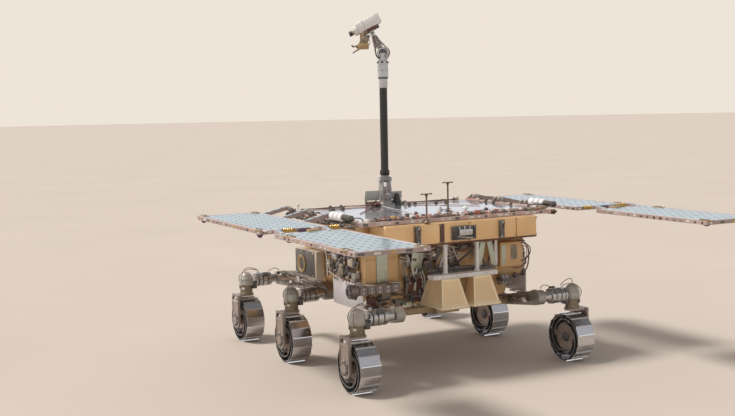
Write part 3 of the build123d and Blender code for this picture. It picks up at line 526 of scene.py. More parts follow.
# The bogies: machined aluminium beams with milled pockets, bolted end caps and the wheel
# harnesses tied along them.
random.seed(7)
grey_metal = finish("grey_metal", (0.38, 0.365, 0.34), (0.28, 0.265, 0.245), 0.4, 0.5, 10.0, dust=0.3)
tan_metal = finish("tan_metal", (0.44, 0.34, 0.2), (0.36, 0.27, 0.155), 0.5, 0.2, 8.0, dust=0.3)
ARM_START, ARM_REACH, ARM_DROP, ARM_Y = -0.842, 0.302, 0.051, 0.455
for hand, side in SIDES:
    coat(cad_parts["side_bogie_" + hand], grey_metal)
    coat(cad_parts["rear_bogie_arm_" + hand], grey_metal)
    parts = []
    bogie_face = side * 0.490
    for station in (0.0, 0.719):
        parts += bolt_ring(at(station, side * 0.440, LEG_Z), (0, -side, 0), 0.032, 8)
    pivot = at(0.3595, bogie_face, 0.425)
    parts += bolt_ring(pivot, (0, side, 0), 0.046, 10)
    parts.append(turned(steel, [(0.030, 0.011), (0.032, 0.014), (0.024, 0.018), (0.008, 0.019)], pivot,
                        (0, side, 0)))
    for start, end, tilt in ((0.075, 0.275, -0.09), (0.445, 0.645, 0.09)):
        middle = (start + end) / 2
        height = 0.407
        for offset in (0.032, -0.032):
            rib = at(middle, bogie_face + side * 0.001, height + offset)
            parts.append(slab(grey_metal, (end - start, 0.008, 0.006), rib, 0.002, (0, tilt, 0)))
        for share in (0.15, 0.5, 0.85):
            block = at(start + share * (end - start), bogie_face + side * 0.006,
                       height + 0.02 * (share - 0.5))
            parts.append(slab(black, (0.016, 0.014, 0.022), block, 0.003))
    for lift in (-0.006, 0.0, 0.006):
        line = [at(0.02 + 0.065 * step, bogie_face + side * (0.012 + 0.002 * sin(step * 2.1)),
                   0.402 + lift + 0.006 * sin(step * 1.3) + 0.022 * (1 - abs(step * 0.065 - 0.34) / 0.34))
                for step in range(11)]
        parts.append(cable(line, 0.0028, brown_cable))
    for index in range(16):
        station = 0.045 + 0.042 * index
        size = (uniform(0.014, 0.034), uniform(0.012, 0.022), uniform(0.012, 0.026))
        block = at(station, bogie_face + side * size[1] / 2 * 0.9, 0.405 + uniform(-0.020, 0.030))
        turn = (0, uniform(-0.2, 0.2), 0)
        parts.append(slab(choice((dark_steel, olive, black, white)), size, block, 0.003, turn))
    for row in range(6):
        line = []
        for step in range(10):
            rise = 0.02 * (1 - abs(step * 0.0675 - 0.33) / 0.33)
            line.append(at(0.03 + 0.0675 * step, bogie_face + side * (0.014 + 0.008 * sin(step * 1.9 + row)),
                           0.418 + 0.009 * (row - 2.5) + 0.012 * sin(step * 1.3 + row * 2.1) + rise))
        parts.append(cable(line, 0.0028, (brown_cable, dark_steel, olive)[row % 3]))
    fit(join(parts, "bogie_trim_" + hand), "chassis", "grey_metal")
    arm_parts = []
    for share in (0.2, 0.4, 0.6, 0.8):
        place = at(ARM_START + share * ARM_REACH, bogie_face + side * 0.005, LEG_Z - share * ARM_DROP)
        arm_parts.append(slab(black, (0.014, 0.012, 0.020), place, 0.003))
    arm_parts += bolt_ring(at(-0.54, bogie_face, 0.339), (0, side, 0), 0.020, 6)
    line = [at(ARM_START + 0.05 * step, bogie_face + side * 0.010,
               0.40 - 0.0085 * step + 0.004 * sin(step * 2)) for step in range(7)]
    arm_parts.append(cable(line, 0.0028, brown_cable))
    for face in (1, -1):
        for index in range(9):
            share = 0.10 + 0.10 * index
            size = (uniform(0.016, 0.030), uniform(0.010, 0.018), uniform(0.014, 0.030))
            place = at(ARM_START + share * ARM_REACH, side * ARM_Y + face * (0.040 + size[1] * 0.3),
                       LEG_Z - share * ARM_DROP + uniform(-0.012, 0.014))
            arm_parts.append(slab(choice((dark_steel, black, olive, grey_metal, white)), size, place, 0.003))
        for row in range(4):
            line = [at(ARM_START + 0.05 * step, side * ARM_Y + face * (0.050 + 0.006 * sin(step * 2.2 + row)),
                       0.41 - 0.0085 * step + 0.010 * (row - 1.5) + 0.010 * sin(step * 1.6 + row * 1.7))
                    for step in range(7)]
            arm_parts.append(cable(line, 0.0028, (brown_cable, dark_steel, olive, brown_cable)[row]))
    fit(join(arm_parts, "rear_arm_trim_" + hand), "chassis", "grey_metal")
coat(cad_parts["rear_bogie_beam"], tan_metal)

# The body: a composite box wrapped in gold foil blanket, which is stitched up from flat sheets
# and taped over its seams, so it lies in shallow creases.
def foil(name, color, other, relief=0.0035, crease=18.0, dust=0.12, metal=0.25, rough=0.42):
    paint = Paint(name, Metallic=metal)
    soft = paint.noise(5.0, 3.0)
    fine = paint.noise(crease, 6.0)
    ridges = paint.node("ShaderNodeTexVoronoi", {"feature": "DISTANCE_TO_EDGE"},
                        {"Vector": paint.place, "Scale": crease})
    tone = paint.mix((soft - 0.3) * 2.0, color, other)
    settled = (paint.facing()[2] * 0.5 + soft - 0.3) * dust * 1.5
    settled.socket.node.use_clamp = True
    paint.put("Base Color", paint.mix(settled, tone, DUST))
    paint.put("Roughness", rough + (fine - 0.5) * 0.3)
    paint.bump(fine + ridges * 0.5, relief)
    return paint.material


gold_foil = foil("gold_foil", (0.62, 0.405, 0.205), (0.53, 0.33, 0.155))
service_foil = foil("service_foil", (0.83, 0.55, 0.29), (0.72, 0.46, 0.22))
tan_foil = foil("tan_foil", (0.52, 0.36, 0.17), (0.42, 0.28, 0.125), 0.002, 12.0, 0.2, 0.1, 0.55)


def wrinkled(name, node, voxel, depth, fold, material):
    """A foil-wrapped copy of a housing: its surface drawn in by creases of a seeded cloud."""
    piece = bpy.data.objects.new(name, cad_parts[node].data.copy())
    bpy.context.scene.collection.objects.link(piece)
    pick_none()
    piece.select_set(True)
    bpy.context.view_layer.objects.active = piece
    bpy.ops.object.mode_set(mode="EDIT")
    bpy.ops.mesh.select_all(action="SELECT")
    bpy.ops.mesh.remove_doubles(threshold=0.00001)
    bpy.ops.object.mode_set(mode="OBJECT")
    remesh = piece.modifiers.new("cloth", "REMESH")
    remesh.mode = "VOXEL"
    remesh.voxel_size = voxel
    remesh.use_smooth_shade = True
    bpy.ops.object.modifier_apply(modifier=remesh.name)
    for scale, share, kind in ((fold, 0.7, "HARD_NOISE"), (fold * 0.35, 0.3, "SOFT_NOISE")):
        cloud = bpy.data.textures.new(name, "CLOUDS")
        cloud.noise_scale = scale
        cloud.noise_type = kind
        crease = piece.modifiers.new("crease", "DISPLACE")
        crease.texture = cloud
        crease.texture_coords = "LOCAL"
        crease.mid_level = 1.0
        crease.strength = depth * share
        bpy.ops.object.modifier_apply(modifier=crease.name)
    return coat(piece, material)


body_skin = wrinkled("body_blanket", "body_tub", 0.012, 0.006, 0.22, gold_foil)
fit(body_skin, "chassis", "blanket_gold", "body_tub")

# The left side of the body: the instrument box with its round port, the bundle of harnesses
# tied down between it and the rear corner, and the white radiator plate below.
port_metal = finish("port_metal", (0.085, 0.08, 0.078), (0.12, 0.11, 0.105), 0.45, 0.4, 12.0, dust=0.2)
brass = finish("brass_ring", (0.46, 0.34, 0.17), (0.38, 0.27, 0.12), 0.35, 0.8, 20.0, dust=0.1)
red_cable = finish("red_cable", (0.42, 0.13, 0.10), (0.32, 0.09, 0.07), 0.5, dust=0.2)
pink_cable = finish("pink_cable", (0.60, 0.36, 0.32), (0.5, 0.28, 0.25), 0.5, dust=0.2)
white_cable = finish("white_cable", (0.72, 0.69, 0.66), (0.6, 0.57, 0.54), 0.5, dust=0.2)
dark_cable = finish("dark_cable", (0.06, 0.055, 0.055), (0.10, 0.09, 0.085), 0.5, dust=0.2)
grey_cable = finish("grey_cable", (0.32, 0.30, 0.29), (0.24, 0.225, 0.215), 0.5, dust=0.2)
box_side = finish("box_side", (0.58, 0.50, 0.40), (0.46, 0.39, 0.31), 0.5, 0.1, 16.0, dust=0.2,
                  stretch=(1, 1, 0.3))
box_low, box_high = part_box("side_instrument_box")
port = at(0.065, box_high.y - 0.012, 0.572)
parts = [
    slab(box_side, (box_high.x - box_low.x, 0.0549, box_high.z - box_low.z),
         ((box_low.x + box_high.x) / 2, 0.57245, (box_low.z + box_high.z) / 2), 0.004),
    slab(port_metal, (0.262, 0.006, 0.150), at(0.026, 0.6005, 0.580), 0.002),
]
port_rings = [(0.038, 0), (0.052, 0.001), (0.055, 0.004), (0.055, 0.009), (0.050, 0.0118), (0.042, 0.0105),
              (0.036, 0.004), (0.031, 0.002), (0.029, -0.018), (0.020, -0.021)]
parts += [
    turned(brass, port_rings, port, LEFT, 56),
    turned(black, [(0.028, -0.020), (0.0285, 0.000), (0.026, 0.0015), (0.020, -0.002), (0.008, -0.003)],
           port, LEFT, 40),
]
for dx in (-0.115, -0.04, 0.04, 0.115):
    for dz in (-0.066, 0.066):
        parts.append(bolt(at(0.026 + dx, 0.6035, 0.580 + dz), LEFT, 0.0035))
fit(join(parts, "instrument_box"), "chassis", "dark_metal", "side_instrument_box")


def harness(paths, name, seed, strands, spread, radius, materials, ties=0.16):
    """Bundles of cable laid along each path, crossing and drooping a little, with tie blocks."""
    random.seed(seed)
    laid = []
    for path in paths:
        for strand in range(strands):
            drift = [uniform(-spread, spread) for _ in range(3)]
            points = []
            for point in path:
                drift = [0.55 * value + uniform(-spread, spread) * 0.6 for value in drift]
                points.append(Vector(point) + Vector(drift))
            laid.append(cable(points, radius * uniform(0.7, 1.25), choice(materials), 1))
        for first, second in zip(path, path[1:]):
            if random.random() < ties:
                middle = (Vector(first) + Vector(second)) / 2
                size = (2.2 * spread + 0.006,) * 3
                laid.append(slab(dark_steel, size, middle, 0.003, (random.random(), random.random(), 0)))
    return join(laid, name)


wall_y = 0.558
paths = []
for row in range(7):
    z = 0.545 + 0.034 * row
    paths.append([at(-0.19 - 0.055 * step, wall_y + 0.004 * sin(row + step),
                     z + 0.014 * sin(1.7 * step + row * 2.0)) for step in range(8)])
for column in range(6):
    station = -0.20 - 0.072 * column
    paths.append([at(station + 0.012 * sin(step + column), wall_y + 0.006, 0.80 - 0.055 * step)
                  for step in range(6)])
side_colors = [grey_cable, white_cable, brown_cable, white_cable, grey_cable, white_cable, pink_cable, brass]
for hand, side in SIDES:
    flipped = [[(point[0], point[1] * side, point[2]) for point in path] for path in paths]
    fit(harness(flipped, "side_harness_" + hand, 21 + side, 3, 0.010, 0.0035, side_colors, 0.4), "chassis",
        "dark_metal")
parts = []
for index, (station, z, length, height, depth) in enumerate((
    (-0.22, 0.60, 0.05, 0.05, 0.026), (-0.31, 0.655, 0.07, 0.035, 0.030), (-0.40, 0.59, 0.055, 0.06, 0.034),
    (-0.50, 0.64, 0.06, 0.05, 0.026), (-0.555, 0.565, 0.045, 0.045, 0.036), (-0.36, 0.72, 0.09, 0.05, 0.022),
    (-0.17, 0.69, 0.04, 0.07, 0.020), (-0.48, 0.73, 0.05, 0.06, 0.024),
)):
    for side in (1, -1):
        paint = (grey_metal, silver, olive, box_side)[index % 4]
        parts += [
            slab(paint, (length, depth, height), at(station, side * (0.544 + depth / 2), z), 0.004),
            bolt(at(station, side * (0.544 + depth), z), (0, side, 0)),
        ]
fit(join(parts, "side_boxes"), "chassis", "grey_metal")
radiator_paint = finish("radiator_paint", (0.76, 0.74, 0.78), (0.80, 0.77, 0.80), 0.4, 0.0, 3.0, 300.0,
                        0.0002, 0.12)
for hand, side in SIDES:
    coat(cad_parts["radiator_plate_" + hand], radiator_paint)
    low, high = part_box("radiator_plate_" + hand)
    face = high.y if side == 1 else low.y
    parts = []
    for dx in (0.02, 0.18, 0.34):
        for dz in (0.02, 0.125):
            parts.append(bolt((low.x + dx, face, low.z + dz), (0, side, 0), 0.003, 0.002))
            post = Vector((low.x + dx, face - side * 0.006, low.z + dz))
            parts.append(rod(grey_metal, post, post - Vector((0, side * 0.10, 0)), 0.005))
    fit(join(parts, "radiator_fixings_" + hand), "chassis", "grey_metal")

# The rear wall of the body: a blanketed panel with a bare cover plate, a box of electronics
# with its cable loops, and brackets and boxes in the dark recess between them.
pale_plate = finish("pale_plate", (0.50, 0.52, 0.42), (0.40, 0.42, 0.33), 0.3, 0.5, 5.0, dust=0.1,
                    stretch=(1, 1, 0.2))
rust = finish("primer_red", (0.13, 0.055, 0.04), (0.08, 0.04, 0.032), 0.6, 0.1, 14.0, dust=0.15)
wall_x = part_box("rear_wall_panel")[1].x


def wall(depth, y, z):
    """A point that stands out behind the rear wall."""
    return wall_x - depth, y, z


cover_y, cover_z = 0.435, 0.612
parts = [
    slab(gold_foil, (0.0215, 0.210, 0.175), wall(0.01125, cover_y, cover_z), 0.005, steps=3),
    slab(pale_plate, (0.0045, 0.070, 0.165), wall(0.0252, cover_y, cover_z), 0.002),
]
for dy in (-0.026, 0.026):
    for dz in (-0.074, 0, 0.074):
        parts.append(bolt(wall(0.0274, cover_y + dy, cover_z + dz), BACK, 0.003, 0.002))
parts.append(slab(tan_foil, (0.003, 0.208, 0.005), wall(0.0225, cover_y, cover_z + 0.050), 0.001))
fit(join(parts, "rear_panel_cover"), "chassis", "blanket_gold", "rear_wall_panel")

box_low, box_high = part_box("rear_electronics_box")
middle = (box_low + box_high) / 2
parts = [
    slab(gold_foil, (0.0895, 0.149, 0.1445), middle, 0.006, steps=3),
    slab(pale_plate, (0.006, 0.030, 0.120), (box_low.x + 0.001, box_high.y - 0.022, middle.z), 0.002),
    slab(olive, (0.010, 0.046, 0.085), (box_low.x + 0.003, middle.y - 0.020, middle.z + 0.012), 0.003),
]
for dy in (-0.040, -0.004):
    for dz in (-0.022, 0.046):
        parts.append(bolt((box_low.x - 0.002, middle.y + dy, middle.z + dz), BACK, 0.003, 0.002))
fit(join(parts, "electronics_box"), "chassis", "blanket_gold", "rear_electronics_box")
paths = []
for row, (reach, low_z) in enumerate(((0.030, 0.56), (0.045, 0.52), (0.055, 0.60))):
    paths.append([wall(0.02, -0.455, 0.70), wall(0.05, -0.48, 0.725 - 0.02 * row),
                  wall(0.07, -0.50 - reach * 0.7, 0.66), wall(0.06, -0.49 - reach * 0.8, low_z),
                  wall(0.04, -0.47, low_z - 0.03), wall(0.02, -0.44, low_z - 0.02)])
fit(harness(paths, "rear_loops_right", 5, 2, 0.008, 0.003, [brown_cable, dark_cable, pink_cable]), "chassis",
    "dark_metal")
coil = []
for turn in range(5):
    points = [(wall_x - 0.034 + 0.024 * cos(step * 0.785), -0.375 + 0.012 * (turn - 2) + 0.0015 * step,
               0.478 + 0.030 * sin(step * 0.785)) for step in range(9)]
    coil.append(cable(points, 0.0042, (grey_cable, white_cable)[turn % 2]))
coil.append(slab(dark_steel, (0.07, 0.075, 0.014), wall(0.036, -0.375, 0.478), 0.004))
fit(join(coil, "rear_coil"), "chassis", "grey_metal")

parts = [
    slab(rust, (0.012, 0.155, 0.128), wall(0.006, 0.208, 0.461), 0.004),
    slab(tan_metal, (0.020, 0.30, 0.014), wall(0.010, 0.26, 0.395), 0.004),
    slab(pale_plate, (0.008, 0.072, 0.032), wall(0.022, 0.286, 0.392), 0.003),
    slab(service_foil, (0.022, 0.082, 0.090), wall(0.011, -0.100, 0.618), 0.005, steps=3),
    slab(grey_metal, (0.026, 0.036, 0.052), wall(0.013, 0.262, 0.632), 0.004),
    slab(silver, (0.034, 0.052, 0.036), wall(0.017, 0.205, 0.655), 0.004),
    slab(olive, (0.040, 0.050, 0.062), wall(0.020, 0.150, 0.600), 0.004),
    slab(grey_metal, (0.020, 0.090, 0.030), wall(0.010, 0.205, 0.560), 0.004),
    slab(tan_metal, (0.030, 0.044, 0.070), wall(0.015, 0.060, 0.640), 0.004),
    slab(grey_metal, (0.024, 0.064, 0.044), wall(0.012, 0.030, 0.570), 0.004),
    slab(grey_metal, (0.018, 0.050, 0.120), wall(0.009, -0.030, 0.640), 0.004),
    slab(pale_plate, (0.016, 0.056, 0.034), wall(0.008, 0.125, 0.500), 0.004),
    slab(pale_plate, (0.004, 0.066, 0.088), wall(0.046, 0.226, 0.640), 0.0015, (0.12, 0, 0)),
    slab(grey_metal, (0.030, 0.010, 0.012), wall(0.031, 0.226, 0.655), 0.002),
    turned(silver, [(0.014, 0), (0.016, 0.003), (0.016, 0.022), (0.011, 0.026)],
           wall(0.001, 0.100, 0.660), BACK),
    turned(brass, [(0.010, 0), (0.012, 0.003), (0.012, 0.030), (0.008, 0.033)],
           wall(0.001, 0.240, 0.590), BACK),
]
for depth, ys, zs in ((0.012, (0.17, 0.25), (0.51, 0.42)), (0.022, (-0.065, -0.135), (0.655, 0.582))):
    for z in zs:
        for y in ys:
            parts.append(bolt(wall(depth, y, z), BACK))
for y0, z0, y1, z1 in ((0.285, 0.690, 0.230, 0.560), (0.180, 0.690, 0.225, 0.560),
                       (0.015, 0.700, 0.080, 0.560), (-0.02, 0.700, -0.075, 0.560)):
    parts.append(rod(steel, wall(0.030, y0, z0), wall(0.030, y1, z1), 0.006))
fit(join(parts, "rear_brackets"), "chassis", "grey_metal")
paths = []
for row in range(6):
    y = 0.30 - 0.055 * row
    paths.append([wall(0.012, y, 0.735), wall(0.030, y - 0.02, 0.68),
                  wall(0.036, y + 0.01, 0.62), wall(0.030, y - 0.01, 0.56),
                  wall(0.022, y - 0.03, 0.51), wall(0.014, y - 0.02, 0.46)])
for row in range(4):
    z = 0.700 - 0.020 * row
    paths.append([(wall_x - 0.020 - 0.008 * (step % 2), 0.32 - 0.07 * step, z + 0.012 * sin(step * 2 + row))
                  for step in range(9)])
fit(harness(paths, "rear_harness", 41, 2, 0.011, 0.0032,
            [grey_cable, white_cable, brown_cable, grey_cable, pink_cable, white_cable], 0.25), "chassis",
    "dark_metal")

paths = []
for row in range(5):
    paths.append([wall(0.014, 0.53 - 0.052 * step, 0.470 - 0.022 * row + 0.012 * sin(step * 1.9 + row * 1.3))
                  for step in range(8)])
lower = [harness(paths, "lower_harness", 61, 2, 0.009, 0.0038,
                 [brown_cable, dark_cable, rust, brown_cable, grey_cable], 0.3)]
for paint, y, z, length, height in ((rust, 0.50, 0.43, 0.05, 0.05), (olive, 0.41, 0.455, 0.06, 0.035),
                                    (dark_steel, 0.33, 0.405, 0.05, 0.04), (rust, 0.45, 0.385, 0.07, 0.026)):
    lower.append(slab(paint, (0.026, length, height), wall(0.013, y, z), 0.004))
fit(join(lower, "lower_harness"), "chassis", "dark_metal")

# The lock strut: the bracket that pinned the left rear leg while it was folded, a bolted
# aluminium arm with an open knuckle at its outer end.
strut_metal = finish("strut_metal", (0.25, 0.215, 0.20), (0.15, 0.125, 0.115), 0.4, 0.5, 18.0, dust=0.25)
coat(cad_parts["lock_strut"], strut_metal)
strut_x, strut_z = MID - 0.640, 0.5
parts = []
for y in (0.37, 0.42, 0.47, 0.52, 0.57):
    for z in (0.489, 0.511):
        parts.append(bolt((strut_x - 0.022, y, z), BACK, 0.0035))
    parts.append(slab(dark_steel, (0.004, 0.006, 0.040), (strut_x - 0.0225, y + 0.025, strut_z), 0.001))
parts.append(turned(dark_steel, [(0.030, 0), (0.032, 0.003), (0.030, 0.006), (0.020, 0.006), (0.018, 0.002),
                                 (0.006, 0.003)], (strut_x, 0.6495, strut_z), LEFT))
parts += bolt_ring((strut_x, 0.655, strut_z), LEFT, 0.025, 6, 0.003)
for dz in (-0.034, 0.034):
    parts.append(slab(dark_steel, (0.044, 0.034, 0.010), (strut_x - 0.004, 0.630, strut_z + dz), 0.003,
                      (0.3, 0, 0)))
parts.append(slab(strut_metal, (0.040, 0.030, 0.030), (strut_x - 0.006, 0.585, 0.532), 0.004, (0.4, 0, 0)))
for offset, color in ((-0.006, brown_cable), (0.0, white_cable), (0.006, dark_cable)):
    line = [(strut_x - 0.010 + offset, 0.34 + 0.045 * step, 0.526 + 0.006 * sin(step * 1.6 + offset * 300))
            for step in range(7)]
    parts.append(cable(line, 0.0028, color))
fit(join(parts, "lock_strut_trim"), "chassis", "grey_metal")

# The radar antenna: two flared horns of sheet metal with recessed faces and thick open lips. A
# white bar holds them, under two white struts and a pair of pale A-frame plates.
horn_paint = finish("horn_paint", (0.86, 0.64, 0.385), (0.78, 0.56, 0.32), 0.5, 0.1, 5.0, 240.0, 0.0002, 0.2)
horn_rim = finish("horn_rim", (0.93, 0.76, 0.52), (0.85, 0.68, 0.44), 0.45, 0.1, 8.0, 240.0, 0.0002, 0.2)
# A darker, shaded copy of the horns' tan: painted shade, used for the dark plate in each horn's throat and
# for the plate in the gap between the horns.
horn_shade_brown = finish("horn_shade_brown", (0.36, 0.25, 0.11), (0.28, 0.19, 0.085), 0.6, 0.1, 6.0, dust=0.3)
for hand, side in SIDES:
    low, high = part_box("radar_horn_" + hand)
    centre_x, centre_y = (low.x + high.x) / 2, (low.y + high.y) / 2
    lip_top = low.z + 0.014
    pick_none()
    bpy.ops.mesh.primitive_cube_add(size=1, location=(centre_x, centre_y, lip_top),
                                    scale=(0.230, 0.170, 0.001))
    bpy.ops.object.transform_apply(location=True, rotation=True, scale=True)
    horn = coat(bpy.context.object, horn_rim)
    horn.data.materials.append(horn_paint)
    bpy.ops.object.mode_set(mode="EDIT")
    bpy.ops.mesh.select_all(action="DESELECT")
    bpy.ops.object.mode_set(mode="OBJECT")
    for face in horn.data.polygons:
        face.select = face.normal.z > 0.9
    bpy.ops.object.mode_set(mode="EDIT")
    bpy.ops.mesh.extrude_region_move(TRANSFORM_OT_translate={"value": (0, 0, high.z - lip_top - 0.0005)})
    bpy.ops.transform.resize(value=(0.140 / 0.230, 0.115 / 0.170, 1),
                             center_override=(centre_x, centre_y, high.z))
    bpy.ops.object.mode_set(mode="OBJECT")
    for face in horn.data.polygons:
        face.select = abs(face.normal.z) < 0.8 and face.area > 0.004
    bpy.ops.object.mode_set(mode="EDIT")
    bpy.ops.mesh.select_mode(type="FACE")
    bpy.ops.mesh.inset(thickness=0.011, depth=-0.005, use_individual=True)
    bpy.ops.object.mode_set(mode="OBJECT")
    for face in horn.data.polygons:
        face.material_index = int(face.select)
    for face in horn.data.polygons:
        face.select = face.normal.z < -0.9
    bpy.ops.object.mode_set(mode="EDIT")
    bpy.ops.mesh.inset(thickness=0.006)
    bpy.ops.mesh.extrude_region_move(TRANSFORM_OT_translate={"value": (0, 0, 0.11)})
    bpy.ops.transform.resize(value=(0.66, 0.70, 1), center_override=(centre_x, centre_y, lip_top))
    bpy.ops.object.mode_set(mode="OBJECT")
    bevel = horn.modifiers.new("edge", "BEVEL")
    bevel.width = 0.0015
    bevel.segments = 2
    bpy.ops.object.modifier_apply(modifier=bevel.name)
    parts = [horn]
    for dy in (0.086, -0.086):
        parts.append(slab(horn_rim, (0.240, 0.010, 0.014), (centre_x, centre_y + dy, low.z + 0.007), 0.002))
    for dx in (0.116, -0.116):
        parts.append(slab(horn_rim, (0.010, 0.180, 0.014), (centre_x + dx, centre_y, low.z + 0.007), 0.002))
    # A dark plate in the horn's throat: painted shade.
    parts.append(slab(horn_shade_brown, (0.10, 0.08, 0.004), (centre_x, centre_y, high.z - 0.003), 0.001))
    for dx in (-0.10, -0.05, 0, 0.05, 0.10):
        parts.append(bolt((centre_x + dx, centre_y + side * 0.091, low.z + 0.007), (0, side, 0), 0.003,
                          0.002))
    for dy in (-0.07, -0.035, 0, 0.035, 0.07):
        parts.append(bolt((centre_x - 0.121, centre_y + dy, low.z + 0.007), BACK, 0.003, 0.002))
    fit(join(parts, "horn_" + hand), "chassis", "horn_tan", "radar_horn_" + hand)
bar_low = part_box("antenna_bar")[0]
coat(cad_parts["antenna_bar"], white)
bar_top = bar_low.z + 0.022
foot_rings = [(0.016, 0), (0.018, 0.004), (0.013, 0.012), (0.0105, 0.016)]
# A dark plate standing in the gap between the horns: painted shade.
parts = [slab(horn_shade_brown, (0.010, 0.190, 0.150), at(-0.735, 0, 0.470), 0.003)]
for y in (-0.19, -0.14, -0.06, 0.0, 0.05, 0.15, 0.19):
    parts += [
        bolt((bar_low.x, y, bar_low.z + 0.011), BACK, 0.004),
        bolt((bar_low.x + 0.015, y, bar_top), UP, 0.004),
    ]
for y in (0.110, -0.100):
    foot = at(-0.760, y, bar_top)
    parts += [
        turned(white, foot_rings, foot, UP, 20),
        turned(white, foot_rings, foot + Vector((0, 0, 0.168)), DOWN, 20),
    ]
for y, lean in ((-0.150, 0.22), (-0.228, -0.22)):
    parts.append(slab(pale_plate, (0.004, 0.034, 0.160), at(-0.722, y, 0.645), 0.0015, (lean, 0, 0)))
parts += [
    slab(white, (0.006, 0.022, 0.150), at(-0.70, -0.270, 0.655), 0.002),
    slab(dark_steel, (0.030, 0.110, 0.016), at(-0.722, -0.190, 0.575), 0.003),
    slab(dark_steel, (0.050, 0.40, 0.008), at(-0.715, 0.0, 0.572), 0.003),
]
for start, end in ((at(-0.745, 0.11, 0.70), at(-0.63, 0.20, 0.575)),
                   (at(-0.745, -0.10, 0.70), at(-0.62, -0.02, 0.575)),
                   (at(-0.70, -0.13, 0.72), at(-0.70, -0.20, 0.580)),
                   (at(-0.70, -0.26, 0.72), at(-0.70, -0.21, 0.580))):
    parts.append(rod(dark_steel, start, end, 0.006))
fit(join(parts, "antenna_fixings"), "chassis", "white_paint")
paths = []
for row in range(4):
    paths.append([(MID - 0.70, 0.18 - 0.05 * step, 0.578 + 0.006 * (row % 2) + 0.004 * sin(step * 1.5 + row))
                  for step in range(9)])
fit(harness(paths, "antenna_harness", 51, 2, 0.008, 0.003, [grey_cable, dark_cable, brown_cable], 0.2),
    "chassis", "dark_metal")

# The service box: a long housing in a flat stitched blanket. Hold-down brackets divide its
# rear face, and a release mechanism sits in a dark frame between them.
fit(wrinkled("service_blanket", "service_box", 0.008, 0.003, 0.12, service_foil), "chassis", "blanket_gold",
    "service_box")
face_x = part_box("service_box")[0].x
panel_z = 0.798
parts = []
for y0, y1 in ((0.322, 0.494), (0.158, 0.296), (-0.236, -0.040), (-0.352, -0.266), (-0.496, -0.358)):
    parts.append(slab(service_foil, (0.007, y1 - y0, 0.108), (face_x - 0.0015, (y0 + y1) / 2, panel_z), 0.003,
                      steps=3))
parts.append(slab(rust, (0.010, 1.0, 0.008), (face_x + 0.002, 0, 0.738), 0.003))
for y in (0.32, 0.295, 0.16, -0.04, -0.235, -0.268, -0.354, -0.494):
    for z in (0.750, 0.846):
        parts += [
            slab(tan_foil, (0.003, 0.010, 0.010), (face_x - 0.0055, y, z), 0.001),
            bolt((face_x - 0.0065, y, z), BACK, 0.0022, 0.0015, metal=dark_steel),
        ]
fit(join(parts, "service_panels"), "chassis", "blanket_gold")
parts = []
for y in (0.300, -0.250):
    parts += [
        slab(dark_steel, (0.018, 0.030, 0.094), (face_x - 0.010, y, 0.7975), 0.003),
        slab(rust, (0.021, 0.013, 0.040), (face_x - 0.011, y - 0.006, 0.815), 0.003, (0.25, 0, 0)),
        slab(dark_steel, (0.021, 0.018, 0.014), (face_x - 0.011, y + 0.005, 0.768), 0.003, (-0.3, 0, 0)),
        turned(dark_steel, [(0.007, 0), (0.009, 0.002), (0.009, 0.007), (0.004, 0.009)],
               (face_x - 0.014, y + 0.002, 0.790), BACK, 20),
        bolt((face_x - 0.0215, y, 0.835), BACK),
        bolt((face_x - 0.0215, y + 0.006, 0.757), BACK),
    ]
fit(join(parts, "hold_downs"), "chassis", "dark_metal", "hold_down_brackets")
parts = [
    slab(dark_steel, (0.0079, 0.160, 0.078), (face_x - 0.004, 0, 0.792), 0.0035),
    slab(silver, (0.017, 0.088, 0.034), (face_x - 0.0165, -0.002, 0.796), 0.004),
    slab(black, (0.012, 0.020, 0.070), (face_x - 0.014, 0.062, 0.793), 0.003),
    slab(black, (0.012, 0.014, 0.060), (face_x - 0.014, -0.064, 0.790), 0.003),
    slab(rust, (0.004, 0.030, 0.104), (face_x - 0.003, 0.142, panel_z), 0.0015),
]
for y in (-0.034, 0.0, 0.034):
    parts += [
        rod(steel, (face_x - 0.012, y, 0.828), (face_x - 0.012, y, 0.812), 0.004),
        bolt((face_x - 0.0245, y, 0.792), BACK, 0.0035),
    ]
for offset in range(4):
    line = [(face_x - 0.012, 0.07 - 0.046 * step, 0.762 + 0.004 * offset + 0.010 * sin(step + offset))
            for step in range(4)]
    parts.append(cable(line, 0.003, (dark_cable, grey_cable, white_cable, brown_cable)[offset]))
fit(join(parts, "release_mechanism"), "chassis", "grey_metal", "rear_mechanism")

